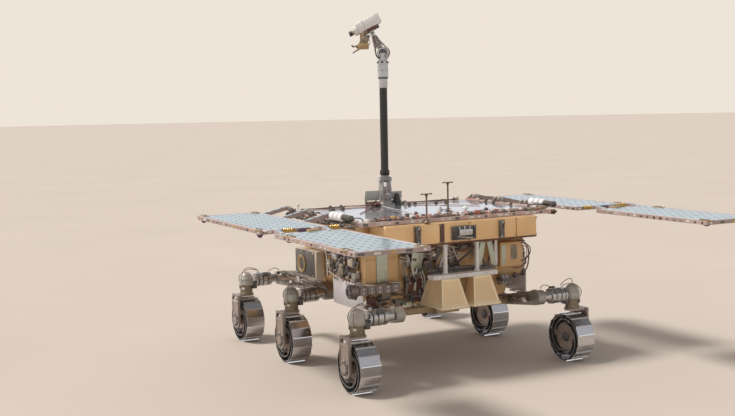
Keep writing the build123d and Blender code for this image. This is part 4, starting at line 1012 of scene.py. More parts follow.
# The deck: a sandwich panel faced with solar cells under thin cover glass. Bare tape runs
# round the cells, and harnesses with their connectors are tied down along the open edges.
def cells(name, node, pitch_x, pitch_y, rim, glass, other, gap, tape, dash=0.0, rough=0.10, shine=0.9):
    """Cell glass on a panel's top face, tape at its rim and its edges, and painted shade on its underside."""
    low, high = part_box(node)
    paint = Paint(name, Coat_Roughness=0.04, Coat_IOR=1.5)
    x, y, z = paint.axes()
    face = paint.facing()[2] > 0.9
    seam_x = abs(((x - low.x) / pitch_x).fract() - 0.5)
    seam_y = abs(((y - low.y) / pitch_y).fract() - 0.5)
    string = (abs(((x - low.x) / (pitch_x * 8)).fract() - 0.5) > 0.494) * 1.0
    if dash:
        dashes = (seam_y > 0.5 - 0.0055 / pitch_y) * (seam_x < dash / 2)
        lines = dashes + (seam_x > 0.5 - 0.0006 / pitch_x) * 0.35
    else:
        lines = (seam_y > 0.5 - 0.0012 / pitch_y) + (seam_x > 0.5 - 0.0012 / pitch_x) + string
    lines.socket.node.use_clamp = True
    number = paint.node("ShaderNodeCombineXYZ", None, {
        0: ((x - low.x) / pitch_x).floor(), 1: ((y - low.y) / pitch_y).floor()})
    tint = paint.node("ShaderNodeTexWhiteNoise", {"noise_dimensions": "3D"}, {"Vector": number})
    middle_x, half_x = (low.x + high.x) / 2, (high.x - low.x) / 2
    middle_y, half_y = (low.y + high.y) / 2, (high.y - low.y) / 2
    inside = (abs(x - middle_x) < half_x - rim) * (abs(y - middle_y) < half_y - rim) * face
    cloud = paint.noise(7.0, 3.0)
    glassy = paint.mix(tint * 0.6 + cloud * 0.4, glass, other)
    border = paint.mix((cloud - 0.3) * 2.0, tape, tuple(0.62 * value for value in tape))
    # Faces that look down are painted near-black: painted shade under the panel.
    border = paint.mix(paint.facing()[2] < -0.9, border, (0.085, 0.085, 0.09))
    color = paint.mix(inside, border, paint.mix(lines, glassy, gap))
    settled = (cloud - 0.45) * face * 0.5
    settled.socket.node.use_clamp = True
    paint.put("Base Color", paint.mix(settled, color, DUST))
    paint.put("Coat Weight", inside * (1.0 - lines * 0.6) * shine)
    paint.put("Roughness", 0.55 - inside * (0.55 - rough) + settled * 0.4 + lines * 0.2)
    paint.bump(inside * (1.0 - lines), 0.0004, 0.5)
    return paint.material


deck_low, deck_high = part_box("deck_panel")
tape = (0.62, 0.48, 0.45)
coat(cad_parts["deck_panel"], cells("deck_cells", "deck_panel", 0.040, 0.080, 0.055,
                                         (0.10, 0.115, 0.155), (0.145, 0.16, 0.20), (0.30, 0.30, 0.32), tape,
                                         rough=0.15, shine=0.75))
top = deck_high.z
cable_colors = [pink_cable, red_cable, white_cable, pink_cable, brown_cable, dark_cable, white_cable,
                grey_cable]
paths = []
for row in range(3):
    paths.append([(deck_low.x + 0.016 + 0.014 * row + 0.005 * sin(step * 1.9 + row), 0.56 - 0.075 * step,
                   top + 0.007) for step in range(16)])
    for side in (1, -1):
        paths.append([(deck_low.x + 0.06 + 0.09 * step,
                       side * (deck_high.y - 0.014 - 0.013 * row) + 0.004 * sin(step * 2.3 + row),
                       top + 0.006) for step in range(10)])
paths.append([(deck_high.x - 0.020 + 0.006 * sin(step * 1.7), 0.56 - 0.075 * step, top + 0.006)
              for step in range(16)])
fit(harness(paths, "deck_harness", 61, 3, 0.0065, 0.0026, cable_colors, 0.45), "chassis", "dark_metal")
random.seed(62)
paths = []
for start_y, end_y in ((0.42, 0.10), (0.16, -0.18), (-0.12, -0.42), (0.30, 0.52), (0.02, 0.24)):
    for lift in (0.007, 0.010):
        middle_x = deck_low.x + uniform(0.05, 0.16)
        paths.append([(deck_low.x + 0.02, start_y, top + 0.008),
                      (middle_x, start_y * 0.7 + end_y * 0.3, top + lift),
                      (middle_x + uniform(-0.03, 0.04), start_y * 0.3 + end_y * 0.7, top + lift),
                      (deck_low.x + 0.03, end_y, top + 0.008)])
for start, end in (((0.06, 0.10), (-0.30, 0.40)), ((0.06, -0.10), (-0.30, -0.44)),
                   ((0.06, 0.14), (0.02, 0.60)), ((0.06, -0.14), (0.0, -0.60)),
                   ((-0.44, -0.115), (-0.72, -0.02)), ((0.05, 0.06), (-0.71, 0.18))):
    line = []
    for step in range(7):
        share = step / 6
        line.append(at(start[0] + share * (end[0] - start[0]) + uniform(-0.012, 0.012),
                       start[1] + share * (end[1] - start[1]) + uniform(-0.012, 0.012), top + 0.004))
    paths.append(line)
fit(harness(paths, "deck_loops", 63, 1, 0.006, 0.0024, [pink_cable, red_cable, white_cable, pink_cable]),
    "chassis", "dark_metal")
parts = []
for index in range(34):
    y = 0.58 - index * 0.0352
    size = (uniform(0.018, 0.04), uniform(0.012, 0.028), uniform(0.010, 0.026))
    place = (deck_low.x + uniform(0.018, 0.05), y, top + size[2] / 2 - 0.001)
    turn = (0, 0, uniform(-0.5, 0.5))
    color = choice((olive, white, white, pink_cable, grey_metal, red_cable, tan_foil, pink_cable))
    parts.append(slab(color, size, place, 0.002, turn))
for side in (1, -1):
    for index in range(14):
        size = (uniform(0.020, 0.05), uniform(0.012, 0.022), uniform(0.008, 0.016))
        place = (deck_low.x + 0.08 + index * 0.060, side * (deck_high.y - 0.022), top + size[2] / 2 - 0.001)
        parts.append(slab(choice((grey_metal, pink_cable, white, olive, white)), size, place, 0.002))
for index in range(26):
    y = 0.60 - index * 0.048
    parts.append(slab((dark_steel, pink_cable, white, white)[index % 4],
                      (0.003, uniform(0.012, 0.030), 0.012), (deck_low.x - 0.0005, y, top - 0.011), 0.001))
fit(join(parts, "deck_connectors"), "chassis", "grey_metal")
knob_parts = []
for station, y, height in ((0.062, 0.048, 0.022), (0.075, -0.125, 0.026), (-0.554, 0.018, 0.016),
                           (-0.549, -0.162, 0.016), (0.145, -0.560, 0.024), (0.140, 0.585, 0.040)):
    rings = [(0.013, -0.001), (0.014, 0.003), (0.006, 0.005), (0.006, height - 0.012),
             (0.0105, height - 0.006), (0.009, height), (0.004, height + 0.002)]
    knob_parts.append(turned(white, rings, at(station, y, top), UP, 20))
fit(join(knob_parts, "deck_knobs"), "chassis", "white_paint")

# The wing hinges and their drives: lugs on the deck's edge, and at the rear of each wing a
# white ribbed actuator with a black motor behind it, on the hinge's own line.
HINGE_Y, HINGE_Z = 0.670, 0.9075
bright_white = finish("bright_white", (0.84, 0.83, 0.84), (0.76, 0.75, 0.76), 0.4, dust=0.05)
for hand, side in SIDES:
    coat(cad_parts["wing_hinge_" + hand], grey_metal)
    line_y, line_z = side * HINGE_Y, HINGE_Z
    front = MID - 0.500
    parts = []
    for start, end in ((0.0, 0.044), (0.054, 0.092), (0.102, 0.138)):
        rings = [(0.019, start), (0.0238, start + 0.003), (0.0238, end - 0.012), (0.0215, end - 0.009),
                 (0.0215, end - 0.003), (0.017, end)]
        parts.append(turned(bright_white, rings, (front, line_y, line_z), BACK, 32))
    parts.append(turned(black, [(0.016, 0.040), (0.0165, 0.041), (0.0165, 0.138), (0.016, 0.139)],
                        (front, line_y, line_z), BACK, 24))
    motor = [(0.014, 0.138), (0.0168, 0.141), (0.0168, 0.190), (0.015, 0.192), (0.0168, 0.194),
             (0.0168, 0.228), (0.012, 0.232), (0.006, 0.2398)]
    parts += [
        turned(black, motor, (front, line_y, line_z), BACK, 32),
        slab(dark_steel, (0.062, 0.030, 0.0255), at(-0.620, side * 0.635, 0.8945), 0.003),
        slab(white, (0.030, 0.040, 0.010), at(-0.535, side * 0.640, 0.888), 0.003),
    ]
    for offset in (-0.020, 0.020):
        parts.append(bolt((MID - 0.620 + offset, side * 0.628, 0.907), UP))
    parts.append(cable([(front - 0.235, line_y, line_z),
                        (front - 0.26, line_y - side * 0.01, line_z + 0.008),
                        (front - 0.262, line_y - side * 0.05, line_z),
                        (front - 0.225, side * 0.60, top + 0.004)], 0.003, dark_cable))
    fit(join(parts, "wing_drive_" + hand), "chassis", "white_paint", "wing_actuator_" + hand)
    parts = []
    for station in (0.110, -0.170, -0.450):
        for lug in (-0.0215, 0.0215):
            parts.append(bolt(at(station + lug, side * 0.640, top + 0.0055), UP, 0.0035, 0.002))
            along = 1 if lug > 0 else -1
            parts.append(turned(steel, [(0.007, 0), (0.008, 0.0015), (0.005, 0.003)],
                                at(station + lug + along * 0.006, line_y, line_z), (along, 0, 0), 16))
    for index in range(30):
        size = (uniform(0.012, 0.034), uniform(0.006, 0.014), uniform(0.010, 0.018))
        place = at(-0.73 + 0.0295 * index, side * (deck_high.y + size[1] / 2 - 0.0005),
                   0.868 + uniform(-0.003, 0.003))
        parts.append(slab((olive, dark_steel, olive, tan_metal, grey_metal)[index % 5], size, place, 0.002))
    fit(join(parts, "wing_hinge_trim_" + hand), "chassis", "grey_metal")
    paths = []
    for row, (out, z) in enumerate(((0.006, 0.874), (0.012, 0.868), (0.018, 0.862), (0.010, 0.857),
                                    (0.022, 0.870), (0.028, 0.864))):
        paths.append([at(-0.745 + 0.0375 * step, side * (deck_high.y + out + 0.003 * sin(step * 1.7 + row)),
                         z + 0.004 * sin(step * 2.3 + row * 1.3)) for step in range(24)])
    harness_colors = [olive, brown_cable, dark_cable, olive, grey_cable, brown_cable]
    fit(harness(paths, "hinge_harness_" + hand, 64 + side, 2, 0.005, 0.003, harness_colors, 0.5), "chassis",
        "dark_metal")

# The solar wings: thin sandwich panels with strings of small cells on top, framed in tape.
# Hold-down points, hinge springs and loose wiring sit at their corners and their joints.
wing_glass, wing_other, wing_gap = (0.25, 0.335, 0.385), (0.31, 0.395, 0.44), (0.045, 0.115, 0.145)
purple = finish("purple_anodise", (0.13, 0.075, 0.12), (0.08, 0.05, 0.075), 0.4, 0.5, 22.0, dust=0.15)
spring_gold = finish("gold_spring", (0.55, 0.37, 0.12), (0.42, 0.27, 0.08), 0.3, 0.8, 22.0, dust=0.1)
joint_x = MID - 0.835
tail_low, tail_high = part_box("solar_tail_left")
WING_IN, WING_OUT = tail_low.y, tail_high.y
HINGE_YS = (0.890, 1.150)
knob_rings = [(0.017, 0), (0.019, 0.001), (0.019, 0.0035), (0.012, 0.0050), (0.007, 0.0053)]
wing_top = 0.882
for hand, side in SIDES:
    for kind, rear, front, drop in (("wing", MID - 0.745, MID + 0.220, 1.0),
                                    ("tail", MID - 1.775, MID - 0.925, 0.45)):
        node = f"solar_{kind}_{hand}"
        coat(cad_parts[node], cells("cells_" + node, node, 0.070, 0.050, 0.020, wing_glass, wing_other,
                                         wing_gap, (0.46, 0.355, 0.33), 0.5, 0.30, 0.25))
        parts = []
        for index in range(int((front - rear) / 0.050)):
            x = rear + 0.03 + index * 0.050
            for y, out in ((side * WING_OUT, side), (side * WING_IN, -side)):
                size = (uniform(0.008, 0.026), 0.003, uniform(0.006, 0.013))
                color = choice((white, dark_steel, grey_metal, tan_foil, rust))
                parts.append(slab(color, size, (x, y + out * 0.0008, wing_top - 0.010), 0.001))
        for y in (WING_IN + 0.012, WING_OUT - 0.012):
            for row in range(2):
                line = [(rear + 0.01 + (front - rear - 0.02) * step / 12,
                         side * (y + 0.005 * row) + 0.002 * sin(step * 2.0 + row), wing_top - 0.0002)
                        for step in range(13)]
                parts.append(cable(line, 0.0014, (pink_cable, white_cable)[row], 1))
        corners = [(front - 0.135, WING_OUT - 0.02), (rear + 0.10, WING_OUT - 0.012),
                   (rear + 0.03, WING_IN + 0.03)]
        if kind == "wing":
            corners = [(front - 0.03, WING_OUT - 0.03), (rear + 0.04, WING_OUT - 0.012),
                       (front - 0.05, WING_IN + 0.03)]
        for x, y in corners:
            parts += [
                slab(spring_gold if y < 1 else tan_foil, (0.058, 0.044, 0.005),
                     (x, side * y, wing_top + 0.0015), 0.002),
                turned(purple, knob_rings, (x, side * y, wing_top + 0.001), UP, 20),
                slab(dark_steel, (0.026, 0.016, 0.006), (x + 0.024, side * (y - 0.006), wing_top + 0.0032),
                     0.002, (0, 0, 0.4)),
                slab(white, (0.014, 0.012, 0.006), (x - 0.022, side * (y + 0.010), wing_top + 0.0032), 0.002),
            ]
            under = [(0.016, 0), (0.018, 0.003), (0.014, 0.003 + 0.009 * drop), (0.008, 0.003 + 0.017 * drop)]
            parts.append(turned(purple, under, (x, side * y, wing_top - 0.019), DOWN, 20))
        for x in (rear + 0.0005, front - 0.0005):
            out = -1 if x < (rear + front) / 2 else 1
            for index in range(5):
                y = side * (WING_IN + 0.03 + (WING_OUT - WING_IN - 0.06) * index / 4)
                parts.append(slab((white, dark_steel, spring_gold)[index % 3],
                                  (0.004, uniform(0.012, 0.035), 0.010),
                                  (x + out * 0.0008, y, wing_top - 0.010), 0.001))
        fit(join(parts, f"{kind}_trim_{hand}"), f"{kind}_{hand}", "grey_metal")
    parts = []
    for y in HINGE_YS:
        rings = [(0.0100, 0.036)]
        for step in range(5):
            start = 0.038 + 0.011 * step
            rings += [(0.009, start), (0.0112, start + 0.0025), (0.0112, start + 0.0065),
                      (0.009, start + 0.009)]
        parts += [
            turned(spring_gold, rings, (joint_x, side * y, wing_top + 0.004), (0, -side, 0), 20),
            slab(white, (0.050, 0.016, 0.006), (joint_x + 0.062, side * (y + 0.030), wing_top + 0.001),
                 0.002),
            slab(white, (0.050, 0.010, 0.006), (joint_x + 0.062, side * (y - 0.030), wing_top + 0.001),
                 0.002),
            bolt((joint_x + 0.078, side * (y + 0.030), wing_top + 0.004), UP, 0.004),
        ]
    parts.append(slab(purple, (0.026, 0.040, 0.022), (joint_x + 0.040, side * 0.990, wing_top - 0.006),
                      0.004))
    fit(join(parts, "tail_hinge_trim_" + hand), f"wing_{hand}", "grey_metal")
    parts = []
    for y in HINGE_YS:
        parts += [
            slab(white, (0.050, 0.020, 0.006), (joint_x - 0.066, side * y, wing_top + 0.001), 0.002),
            bolt((joint_x - 0.080, side * y, wing_top + 0.004), UP, 0.004),
        ]
    parts.append(slab(tan_foil, (0.030, 0.050, 0.014), (joint_x - 0.075, side * 0.985, wing_top + 0.002),
                      0.004))
    fit(join(parts, "tail_bracket_trim_" + hand), f"tail_{hand}", "grey_metal")

# The mast's foot: a machined block bolted to the deck, whose fork holds the mast's fold pin. A
# bare white panel and a dark cone stand beside it, over a nest of harness.
mast_metal = finish("mast_foot_metal", (0.40, 0.39, 0.385), (0.32, 0.30, 0.29), 0.42, 0.4, 14.0, dust=0.2)
coat(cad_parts["mast_base"], mast_metal)
foot_x = MID + 0.110
FOLD_Z = 1.045
pin_rings = [(0.013, 0), (0.015, 0.002), (0.015, 0.010), (0.010, 0.013)]
parts = []
for offset in (-0.030, 0.030):
    for y in (-0.040, 0.040):
        parts.append(bolt((foot_x + offset, y, top + 0.010), UP, 0.005, 0.004))
parts += [
    slab(mast_metal, (0.006, 0.040, 0.060), (foot_x - 0.030, 0, 0.945), 0.002),
    slab(steel, (0.004, 0.026, 0.020), (foot_x - 0.034, 0.004, 0.955), 0.002),
    turned(steel, pin_rings, (foot_x, 0.0315, FOLD_Z), LEFT, 24),
    turned(steel, pin_rings, (foot_x, -0.0315, FOLD_Z), RIGHT, 24),
]
for y in (-0.016, 0.016):
    for z in (0.925, 0.965):
        parts.append(bolt((foot_x - 0.033, y, z), BACK, 0.0035, metal=dark_steel))
fit(join(parts, "mast_foot_trim"), "chassis", "grey_metal")
pale_green = finish("pale_green_plate", (0.60, 0.63, 0.58), (0.52, 0.55, 0.50), 0.45, dust=0.15)
parts = [
    slab(pale_green, (0.004, 0.106, 0.062), (foot_x + 0.004, 0.089, 0.948), 0.0015, (0, -0.20, 0)),
    slab(pale_green, (0.004, 0.106, 0.050), (foot_x + 0.040, -0.089, 0.940), 0.0015, (0, -0.10, 0)),
    slab(mast_metal, (0.010, 0.012, 0.050), (foot_x + 0.014, 0.060, 0.9065), 0.002),
    slab(mast_metal, (0.010, 0.012, 0.050), (foot_x + 0.014, 0.130, 0.9065), 0.002),
    slab(mast_metal, (0.012, 0.100, 0.030), (foot_x + 0.046, -0.092, 0.8965), 0.002),
    slab(rust, (0.044, 0.072, 0.030), (foot_x - 0.012, 0.094, 0.8965), 0.004),
    turned(black, [(0.030, -0.0005), (0.031, 0.004), (0.027, 0.008), (0.022, 0.040), (0.016, 0.068),
                   (0.009, 0.0745), (0.004, 0.076)], (foot_x - 0.002, -0.082, top), UP, 28),
    turned(dark_steel, [(0.035, -0.0005), (0.035, 0.004), (0.031, 0.005)], (foot_x - 0.002, -0.082, top), UP,
           28),
]
random.seed(71)
for index in range(7):
    size = (uniform(0.010, 0.020), uniform(0.010, 0.020), uniform(0.008, 0.016))
    place = (foot_x - 0.036 + uniform(-0.008, 0.006), 0.064 + 0.011 * index,
             top + size[2] / 2 + uniform(0, 0.016))
    parts.append(slab((rust, dark_steel, brown_cable, white, red_cable)[index % 5], size, place, 0.002))
for index in range(9):
    y = uniform(0.060, 0.138)
    end_y = uniform(0.050, 0.138)
    line = [(foot_x - 0.030, y, top + 0.006), (foot_x - 0.055, (y + end_y) / 2, top + uniform(0.012, 0.040)),
            (foot_x - 0.045, end_y, top + uniform(0.010, 0.030)), (foot_x - 0.028, end_y, top + 0.006)]
    parts.append(cable(line, 0.0024, (red_cable, brown_cable, pink_cable, rust)[index % 4]))
for index in range(4):
    line = [(foot_x - 0.032, 0.030 - 0.006 * index, 0.890), (foot_x - 0.046, 0.050 + 0.006 * index, 0.893),
            (foot_x - 0.044, 0.030 - 0.004 * index, 0.930), (foot_x - 0.036, 0.006 * index - 0.010, 0.985)]
    parts.append(cable(line, 0.0022, (brown_cable, dark_cable, white_cable, pink_cable)[index]))
fit(join(parts, "mast_foot_panels"), "chassis", "dark_metal", "mast_foot_boxes")

# The mast: a carbon tube socketed in a metal knuckle. At its top a silver sleeve holds the pan
# drive, with a dark clamp ring part of the way up.
carbon = finish("carbon_tube", (0.022, 0.020, 0.018), (0.034, 0.028, 0.024), 0.42, 0.1, 5.0, 400.0, 0.0002,
                0.03, (1, 1, 0.3))
sleeve_metal = finish("sleeve_metal", (0.60, 0.61, 0.62), (0.52, 0.53, 0.54), 0.36, 0.35, 10.0, 260.0,
                      0.0002, 0.1)
up = Vector(UP)
mast_foot = Vector((foot_x, 0, 0))
mast_rings = [(0.0285, 1.0725), (0.030, 1.075), (0.030, 1.100), (0.0285, 1.104), (0.0242, 1.1055),
              (0.0242, 1.110), (0.0240, 1.111), (0.0240, 1.6145)]
parts = [
    slab(mast_metal, (0.036, 0.039, 0.030), (foot_x, 0, 1.061), 0.003),
    turned(mast_metal, [(0.010, -0.0192), (0.018, -0.019), (0.018, 0.019), (0.010, 0.0192)],
           (foot_x, 0, FOLD_Z), LEFT, 32),
    turned(carbon, mast_rings, mast_foot, up, 40),
    turned(sleeve_metal, [(0.0255, 1.614), (0.0265, 1.616), (0.0265, 1.622), (0.0275, 1.624),
                          (0.0275, 1.671)], mast_foot, up, 40),
    turned(dark_steel, [(0.0290, 1.670), (0.0315, 1.672), (0.0315, 1.679), (0.0290, 1.681)], mast_foot, up,
           40),
    turned(sleeve_metal, [(0.0315, 1.680), (0.033, 1.682), (0.033, 1.757), (0.0318, 1.758), (0.0318, 1.760),
                          (0.033, 1.761), (0.033, 1.776), (0.031, 1.7795)], mast_foot, up, 40),
]
for step in range(6):
    angle = radians(60 * step + 25)
    out = Vector((cos(angle), sin(angle), 0))
    parts += [
        turned(dark_steel, [(0.0035, 0), (0.0035, 0.0015), (0.002, 0.002)],
               mast_foot + out * 0.0328 + up * 1.722, out, 10),
        bolt(mast_foot + out * 0.0265 + up * 1.645, out, 0.003, 0.0025),
        slab((rust, dark_steel)[step % 2], (0.010, 0.012, 0.010), mast_foot + out * 0.0345 + up * 1.771,
             0.002, (0, 0, angle)),
    ]
fit(join(parts, "mast_tube_finished"), "mast", "black_carbon", "mast_tube")

# The pan neck: a barrel across the top of the mast and a short leaning arm to the tilt pin,
# wrapped in the strands of harness that serve the head.
TILT_X, TILT_Z = 0.061, 1.950
BARREL_Z = 1.830
gaze = Vector((cos(radians(62)), sin(radians(62)), 0))
aside = Vector((-gaze.y, gaze.x, 0))
neck_frame = Matrix.Translation(mast_foot) @ Matrix((gaze, aside, up)).transposed().to_4x4()
lean = atan2(TILT_X, TILT_Z - BARREL_Z)


def posed(piece, place):
    """A piece modelled about its own joint, moved to where it stands."""
    piece.data.transform(place)
    return piece


cap_rings = [(0.024, 0.019), (0.020, 0.0215), (0.008, 0.022)]
parts = [
    turned(sleeve_metal, [(0.028, 1.7806), (0.030, 1.782), (0.030, 1.790), (0.027, 1.793), (0.027, 1.815),
                          (0.029, 1.818), (0.029, 1.828)], (0, 0, 0), up, 36),
    turned(steel, [(0.026, -0.019), (0.033, -0.017), (0.034, -0.014), (0.034, 0.014), (0.033, 0.017),
                   (0.026, 0.019)], (0, 0, BARREL_Z), LEFT, 36),
    turned(dark_steel, cap_rings, (0, 0, BARREL_Z), LEFT, 24),
    turned(dark_steel, cap_rings, (0, 0, BARREL_Z), RIGHT, 24),
    slab(sleeve_metal, (0.033, 0.030, 0.100), (0.0305, 0, 1.892), 0.004, (0, lean, 0)),
    turned(steel, [(0.009, -0.0148), (0.016, -0.0146), (0.016, 0.0146), (0.009, 0.0148)],
           (TILT_X, 0, TILT_Z), LEFT, 28),
]
for offset in (-1, 1):
    parts.append(slab(dark_steel, (0.012, 0.003, 0.070), (0.0305, 0.0152 * offset, 1.892), 0.001,
                      (0, lean, 0)))
random.seed(72)
strand_colors = [white_cable, white_cable, silver, dark_cable, white_cable, purple, grey_cable, white_cable]
for index in range(22):
    sweep = (index % 11) / 10
    offset = (1 if index < 11 else -1) * (0.008 + 0.022 * sweep)
    bulge = 0.036 + 0.010 * (1 - sweep) + uniform(-0.003, 0.003)
    high = 0.088 + uniform(-0.006, 0.006)
    line = [(-0.018 - 0.012 * (1 - sweep), offset * 0.8, 1.796), (-bulge, offset, 1.822),
            (-bulge + 0.006, offset, 1.850), (-0.012, offset * 1.05, 1.874),
            (0.014 + uniform(-0.004, 0.004), offset, 1.902),
            (0.030 * high / 0.088, offset * 0.9, 1.836 + high)]
    parts.append(cable(line, 0.0030, strand_colors[index % 8]))
for index in range(18):
    offset = -0.030 + 0.0035 * index
    swell = uniform(-0.004, 0.004)
    line = [(0.022, offset, 1.794), (0.040 + swell, offset * 1.05, 1.812),
            (0.044 - swell, offset * 1.05, 1.842), (0.050 + swell, offset, 1.880),
            (0.060, offset * 0.9, 1.918)]
    parts.append(cable(line, 0.0032, strand_colors[(index * 3) % 8]))
for out in (-1, 1):
    parts += [
        slab(purple, (0.034, 0.012, 0.038), (0.042, out * 0.0265, 1.910), 0.004, (0, lean, 0)),
        slab(grey_cable, (0.030, 0.010, 0.030), (0.034, out * 0.0285, 1.896), 0.003, (0, lean, 0)),
    ]
    for index in range(7):
        line = [(0.018 + 0.004 * index, out * 0.029, 1.866),
                (0.026 + 0.005 * index, out * (0.0315 + 0.0004 * index), 1.888),
                (0.030 + 0.005 * index, out * 0.0325, 1.910), (0.034 + 0.005 * index, out * 0.0290, 1.932)]
        parts.append(cable(line, 0.0026, (grey_cable, purple, white_cable, brown_cable)[index % 4]))
parts += [
    slab(white, (0.066, 0.062, 0.006), (0.018, 0, 1.872), 0.002, (0, lean, 0)),
    slab(dark_steel, (0.046, 0.062, 0.006), (0.040, 0, 1.906), 0.002, (0, lean, 0)),
]
fit(posed(join(parts, "pan_neck_finished"), neck_frame), "pan_unit", "grey_metal", "pan_neck")

# The camera head: a white-painted box hung on the tilt pin by two ears. Its main camera looks
# out of a grey barrel at the low end, beside a smaller one, with their cables under the box.
tilt = radians(27)
tilt_place = mast_foot + gaze * TILT_X + up * TILT_Z
ahead_down = gaze * cos(tilt) - up * sin(tilt)
head_up = gaze * sin(tilt) + up * cos(tilt)
head_frame = Matrix.Translation(tilt_place) @ Matrix((ahead_down, aside, head_up)).transposed().to_4x4()
head_white = finish("head_paint", (0.80, 0.785, 0.78), (0.72, 0.70, 0.70), 0.42, dust=0.12)
lens_glass = Paint("lens_glass", Base_Color=(0.01, 0.011, 0.014, 1), Roughness=0.06, Coat_Weight=0.6)
lens_glass.bump(lens_glass.noise(30.0), 0.0001)
BOX_Z = 0.065
parts = [
    slab(head_white, (0.157, 0.110, 0.062), (-0.005, 0, BOX_Z), 0.006, steps=3),
    slab(head_white, (0.110, 0.1112, 0.044), (-0.008, 0, BOX_Z), 0.004),
    slab(pale_plate, (0.1572, 0.084, 0.044), (-0.005, 0, BOX_Z), 0.004),
    slab(white, (0.020, 0.100, 0.064), (0.040, 0, BOX_Z), 0.004),
    slab(grey_metal, (0.004, 0.1114, 0.063), (0.026, 0, BOX_Z), 0.001),
    turned(dark_steel, [(0.007, 0), (0.007, 0.0015), (0.004, 0.0015), (0.004, 0.0002)],
           (-0.020, -0.0556, 0.066), RIGHT, 16),
    slab(dark_steel, (0.100, 0.050, 0.010), (-0.008, 0.0, 0.0305), 0.003),
    slab(purple, (0.040, 0.012, 0.022), (-0.040, -0.044, 0.026), 0.003),
    slab(olive, (0.034, 0.012, 0.024), (0.030, -0.044, 0.024), 0.003),
    slab(rust, (0.050, 0.012, 0.020), (-0.010, 0.044, 0.026), 0.003),
]
for y, radius in ((0.034, 0.0160), (-0.030, 0.0130)):
    seat = (0.0735, y, 0.059)
    barrel_rings = [(radius * 0.95, 0), (radius * 1.02, 0.001), (radius * 1.02, 0.012),
                    (radius * 0.90, 0.013), (radius * 0.90, 0.016), (radius, 0.017), (radius, 0.030)]
    parts += [
        turned(white, [(radius + 0.012, -0.002), (radius + 0.013, 0.001), (radius + 0.013, 0.020),
                       (radius + 0.008, 0.024)], seat, AHEAD, 32),
        turned(grey_metal, barrel_rings, (0.078, y, 0.059), AHEAD, 32),
    ]
    hood = [(radius * 0.98, 0.030), (radius * 0.98, 0.055), (radius * 0.80, 0.055), (radius * 0.72, 0.048)]
    parts += [
        turned(black, hood, seat, AHEAD, 32),
        turned(lens_glass.material, [(radius * 0.74, 0.040), (radius * 0.72, 0.049), (radius * 0.4, 0.0505),
                                     (radius * 0.1, 0.051)], seat, AHEAD, 32),
    ]
for y in (-0.0205, 0.0205):
    parts += [
        turned(silver, [(0.010, -0.005), (0.014, -0.0048), (0.014, 0.0048), (0.010, 0.005)], (0, y, 0), LEFT,
               24),
        slab(silver, (0.026, 0.010, 0.034), (0, y, 0.018), 0.002),
    ]
    out = 1 if y > 0 else -1
    parts.append(bolt((0, y + out * 0.005, 0), (0, out, 0), 0.005, 0.003, metal=dark_steel))
screw = [(0.003, 0), (0.003, 0.0012), (0.0015, 0.0018)]
for x in (-0.074, 0.064):
    for y in (-0.046, 0.046):
        parts.append(turned(steel, screw, (x, y, 0.0957), UP, 8))
for z in (0.045, 0.085):
    for y in (-0.036, 0.036):
        parts.append(turned(steel, screw, (-0.0833, y, z), BACK, 8))
random.seed(73)
for index in range(14):
    start = uniform(-0.060, 0.045)
    reach = uniform(-0.030, 0.050)
    y = choice((-1, 1)) * uniform(0.041, 0.051)
    line = [(start, y, 0.034), (start + reach * 0.3, y, uniform(0.008, 0.022)),
            (start + reach * 0.8, y * 0.96, uniform(0.010, 0.024)), (start + reach, y * 0.94, 0.034)]
    parts.append(cable(line, 0.0022, (brown_cable, dark_cable, purple, pink_cable, rust)[index % 5]))
fit(posed(join(parts, "camera_head_finished"), head_frame), "camera_unit", "white_paint", "camera_head")

# The instrument under the head: a small tan-coated block on a bracket that turns with the head's
# pan, with two thin prongs in dull paint.
tan_coat = finish("tan_coat", (0.46, 0.31, 0.15), (0.34, 0.21, 0.10), 0.45, 0.1, 20.0, dust=0.15)
parts = [
    slab(tan_coat, (0.067, 0.043, 0.036), (0.119, 0.058, 1.8685), 0.005),
    slab(olive, (0.052, 0.034, 0.014), (0.117, 0.058, 1.8915), 0.003),
    slab(tan_coat, (0.024, 0.008, 0.062), (0.126, 0.048, 1.918), 0.001),
    slab(rust, (0.006, 0.036, 0.028), (0.0875, 0.058, 1.870), 0.002),
    slab(olive, (0.048, 0.036, 0.030), (0.108, 0.060, 1.910), 0.006, (0, -0.15, 0)),
    slab(dark_steel, (0.030, 0.030, 0.020), (0.092, 0.060, 1.926), 0.004, (0, 0.2, 0)),
    turned(dark_steel, [(0.010, 0), (0.011, 0.002), (0.011, 0.010), (0.007, 0.011)], (0.152, 0.058, 1.868),
           (1, 0, -0.2), 20),
    rod(olive, (0.150, 0.070, 1.872), (0.184, 0.074, 1.866), 0.0050),
    rod(dark_steel, (0.182, 0.074, 1.864), (0.190, 0.076, 1.878), 0.0042),
    rod(olive, (0.140, 0.046, 1.856), (0.172, 0.044, 1.838), 0.0052),
    rod(dark_steel, (0.169, 0.044, 1.840), (0.184, 0.044, 1.829), 0.0040),
]
for index in range(4):
    line = [(0.086, 0.048 + 0.006 * index, 1.874), (0.074, 0.050 + 0.005 * index, 1.890),
            (0.082, 0.054, 1.914), (0.112, 0.050, 1.930 + 0.003 * index)]
    parts.append(cable(line, 0.002, (rust, brown_cable, dark_cable, pink_cable)[index]))
fit(posed(join(parts, "mast_instrument_finished"), neck_frame), "camera_unit", "horn_tan", "mast_instrument")

